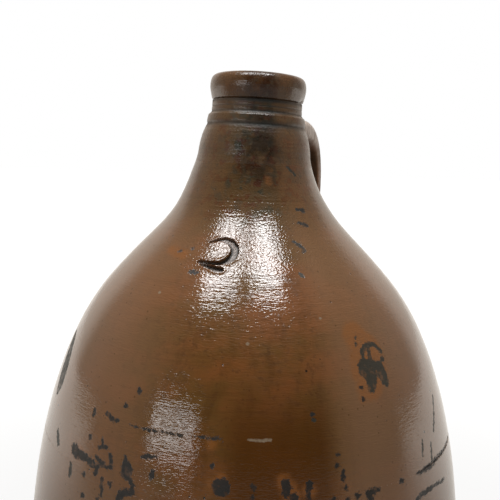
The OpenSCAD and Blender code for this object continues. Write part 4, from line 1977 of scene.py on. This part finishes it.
@dataclass(frozen=True)
class Studio:
    """The pale floor, the white surroundings and the soft boxes."""

    floor_size: float = 40.0
    near_glow: float = 0.75
    far_glow: float = 1.0

    def build(self) -> None:
        """Builds the floor, the world and the lights."""
        self.floor()
        self.world()
        boxes = (
            SoftBox("left_box", (-0.345, -0.205, 1.45), (-0.345, -0.205, 0.0), 0.41, 0.28, 12.3),
            SoftBox("right_box", (0.182, -0.205, 1.45), (0.182, -0.205, 0.0), 0.345, 0.28, 14.0),
            SoftBox("low_box", (-0.70, -0.87, 0.402), (0.0, 0.0, 0.20), 0.48, 0.13, 4.2),
            SoftBox("fill", (0.5, -1.5, 1.3), (0.0, 0.0, 0.22), 1.2, 1.2, 1.0, mirrored=False),
        )
        for box in boxes:
            box.build()

    def floor(self) -> None:
        """Lays the plain floor, which keeps the jug's shadow."""
        deselect()
        bpy.ops.mesh.primitive_plane_add(size=self.floor_size)
        floor = bpy.context.object
        floor.name = "floor"
        material = bpy.data.materials.new("pale_floor")
        n = Nodes.of(material)
        paint = n.add("ShaderNodeBsdfDiffuse")
        glow = n.add("ShaderNodeEmission")
        path = n.add("ShaderNodeLightPath").outputs
        spot = n.spot()
        away = n.add("ShaderNodeVectorMath", operation="LENGTH")
        both = n.add("ShaderNodeAddShader")
        beyond = n.limits(n.parts(spot)["Y"], -0.3, 0.42, 0.06, 1.0)
        seen = n.math("MAXIMUM", path["Is Camera Ray"], n.product(path["Is Glossy Ray"], beyond))
        level = n.limits(away.outputs["Value"], 0.2, 1.0, self.near_glow, self.far_glow)
        for socket, value in (
            (paint.inputs[0], (0.3, 0.3, 0.3)),
            (away.inputs[0], spot),
            (glow.inputs["Strength"], n.product(seen, level)),
            (glow.inputs["Color"], n.mix(path["Is Camera Ray"], (1.0, 0.955, 0.89), (1.0, 1.0, 1.0))),
            (both.inputs[0], paint.outputs[0]),
            (both.inputs[1], glow.outputs[0]),
            (n.add("ShaderNodeOutputMaterial").inputs[0], both.outputs[0]),
        ):
            n.feed(socket, value)
        floor.data.materials.append(material)

    def world(self) -> None:
        """Surrounds the jug with white, brighter behind and beside it than on the camera's side."""
        world = bpy.data.worlds.new("studio")
        bpy.context.scene.world = world
        n = Nodes.of(world)
        way = n.parts(n.add("ShaderNodeTexCoord").outputs["Generated"])
        depth, up = way["Y"], way["Z"]
        behind = n.total(
            n.limits(depth, -0.9, -0.2, 0.02, 0.15),
            n.limits(depth, -0.1, 0.40, 0.0, 0.14),
            n.limits(depth, 0.46, 0.70, 0.0, 0.55),
        )
        behind = n.product(behind, n.limits(up, 0.3, 0.7, 1.0, 0.6))
        around = n.add("ShaderNodeBackground")
        white = n.add("ShaderNodeBackground")
        choice = n.add("ShaderNodeMixShader")
        for socket, value in (
            (around.inputs["Color"], (1.0, 0.945, 0.865)),
            (around.inputs["Strength"], n.math("MAXIMUM", behind, n.limits(up, 0.6, 0.95, 0.0, 0.3))),
            (white.inputs["Color"], (1.0, 1.0, 1.0)),
            (choice.inputs[0], n.add("ShaderNodeLightPath").outputs["Is Camera Ray"]),
            (choice.inputs[1], around.outputs[0]),
            (choice.inputs[2], white.outputs[0]),
            (n.add("ShaderNodeOutputWorld").inputs[0], choice.outputs[0]),
        ):
            n.feed(socket, value)


def dress(piece: Piece, node: str, material: Material) -> None:
    """Gives a piece its material and its place in the frame.

    Args:
        piece: the finished piece.
        node: the solid that it stands for.
        material: its material.
    """
    piece.data.materials.clear()
    piece.data.materials.append(material)
    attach(piece, "root")
    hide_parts(node)
    low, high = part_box(node)
    faces, tall = len(piece.data.polygons), (high.z - low.z) / MM
    LOG.info("%s: %d faces, stands for %s, %.1f mm high", piece.name, faces, node, tall)


def main() -> None:
    """Builds and dresses the jug, its camera and its studio."""
    logging.basicConfig(level=logging.INFO, format="%(relativeCreated)d ms: %(message)s")
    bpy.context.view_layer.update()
    bpy.context.scene.view_settings.view_transform = "Standard"
    Camera().build()
    Studio().build()

    effects = Effects()
    glazes = (
        Glaze("salt_glaze_body", smoke_share=0.9, gloss=0.07, dullest=0.18, relief=0.162, fired=True),
        Glaze("salt_glaze_neck", smoke_share=0.95, gloss=0.2, relief=0.15),
        Glaze(
            "salt_glaze_handle", painted_crown_highlight_share=1.0, gloss=0.3, dullest=0.5, relief=0.12,
            dull_neck=0.0, mirror=0.4,
        ),
        Glaze("glazed_luting_clay", fired=True),
    )
    body_glaze, neck_glaze, handle_glaze, lute_glaze = (glaze.make(effects) for glaze in glazes)

    shape = JugShape()
    body = Body(shape, Numeral())
    neck = Neck(shape)
    root, strap, terminal = Handle(shape, neck).build()
    dress(body.lower(), "lower_body", body_glaze)
    dress(body.upper(), "upper_body", body_glaze)
    dress(body.luting(), "body_luting_ring", lute_glaze)
    dress(neck.thrown_neck(), "neck", neck_glaze)
    dress(neck.luting(), "neck_luting_ring", neck_glaze)
    dress(strap, "handle_strap", handle_glaze)
    dress(root, "handle_root", handle_glaze)
    dress(terminal, "handle_terminal", handle_glaze)


if __name__ == "__main__":
    main()
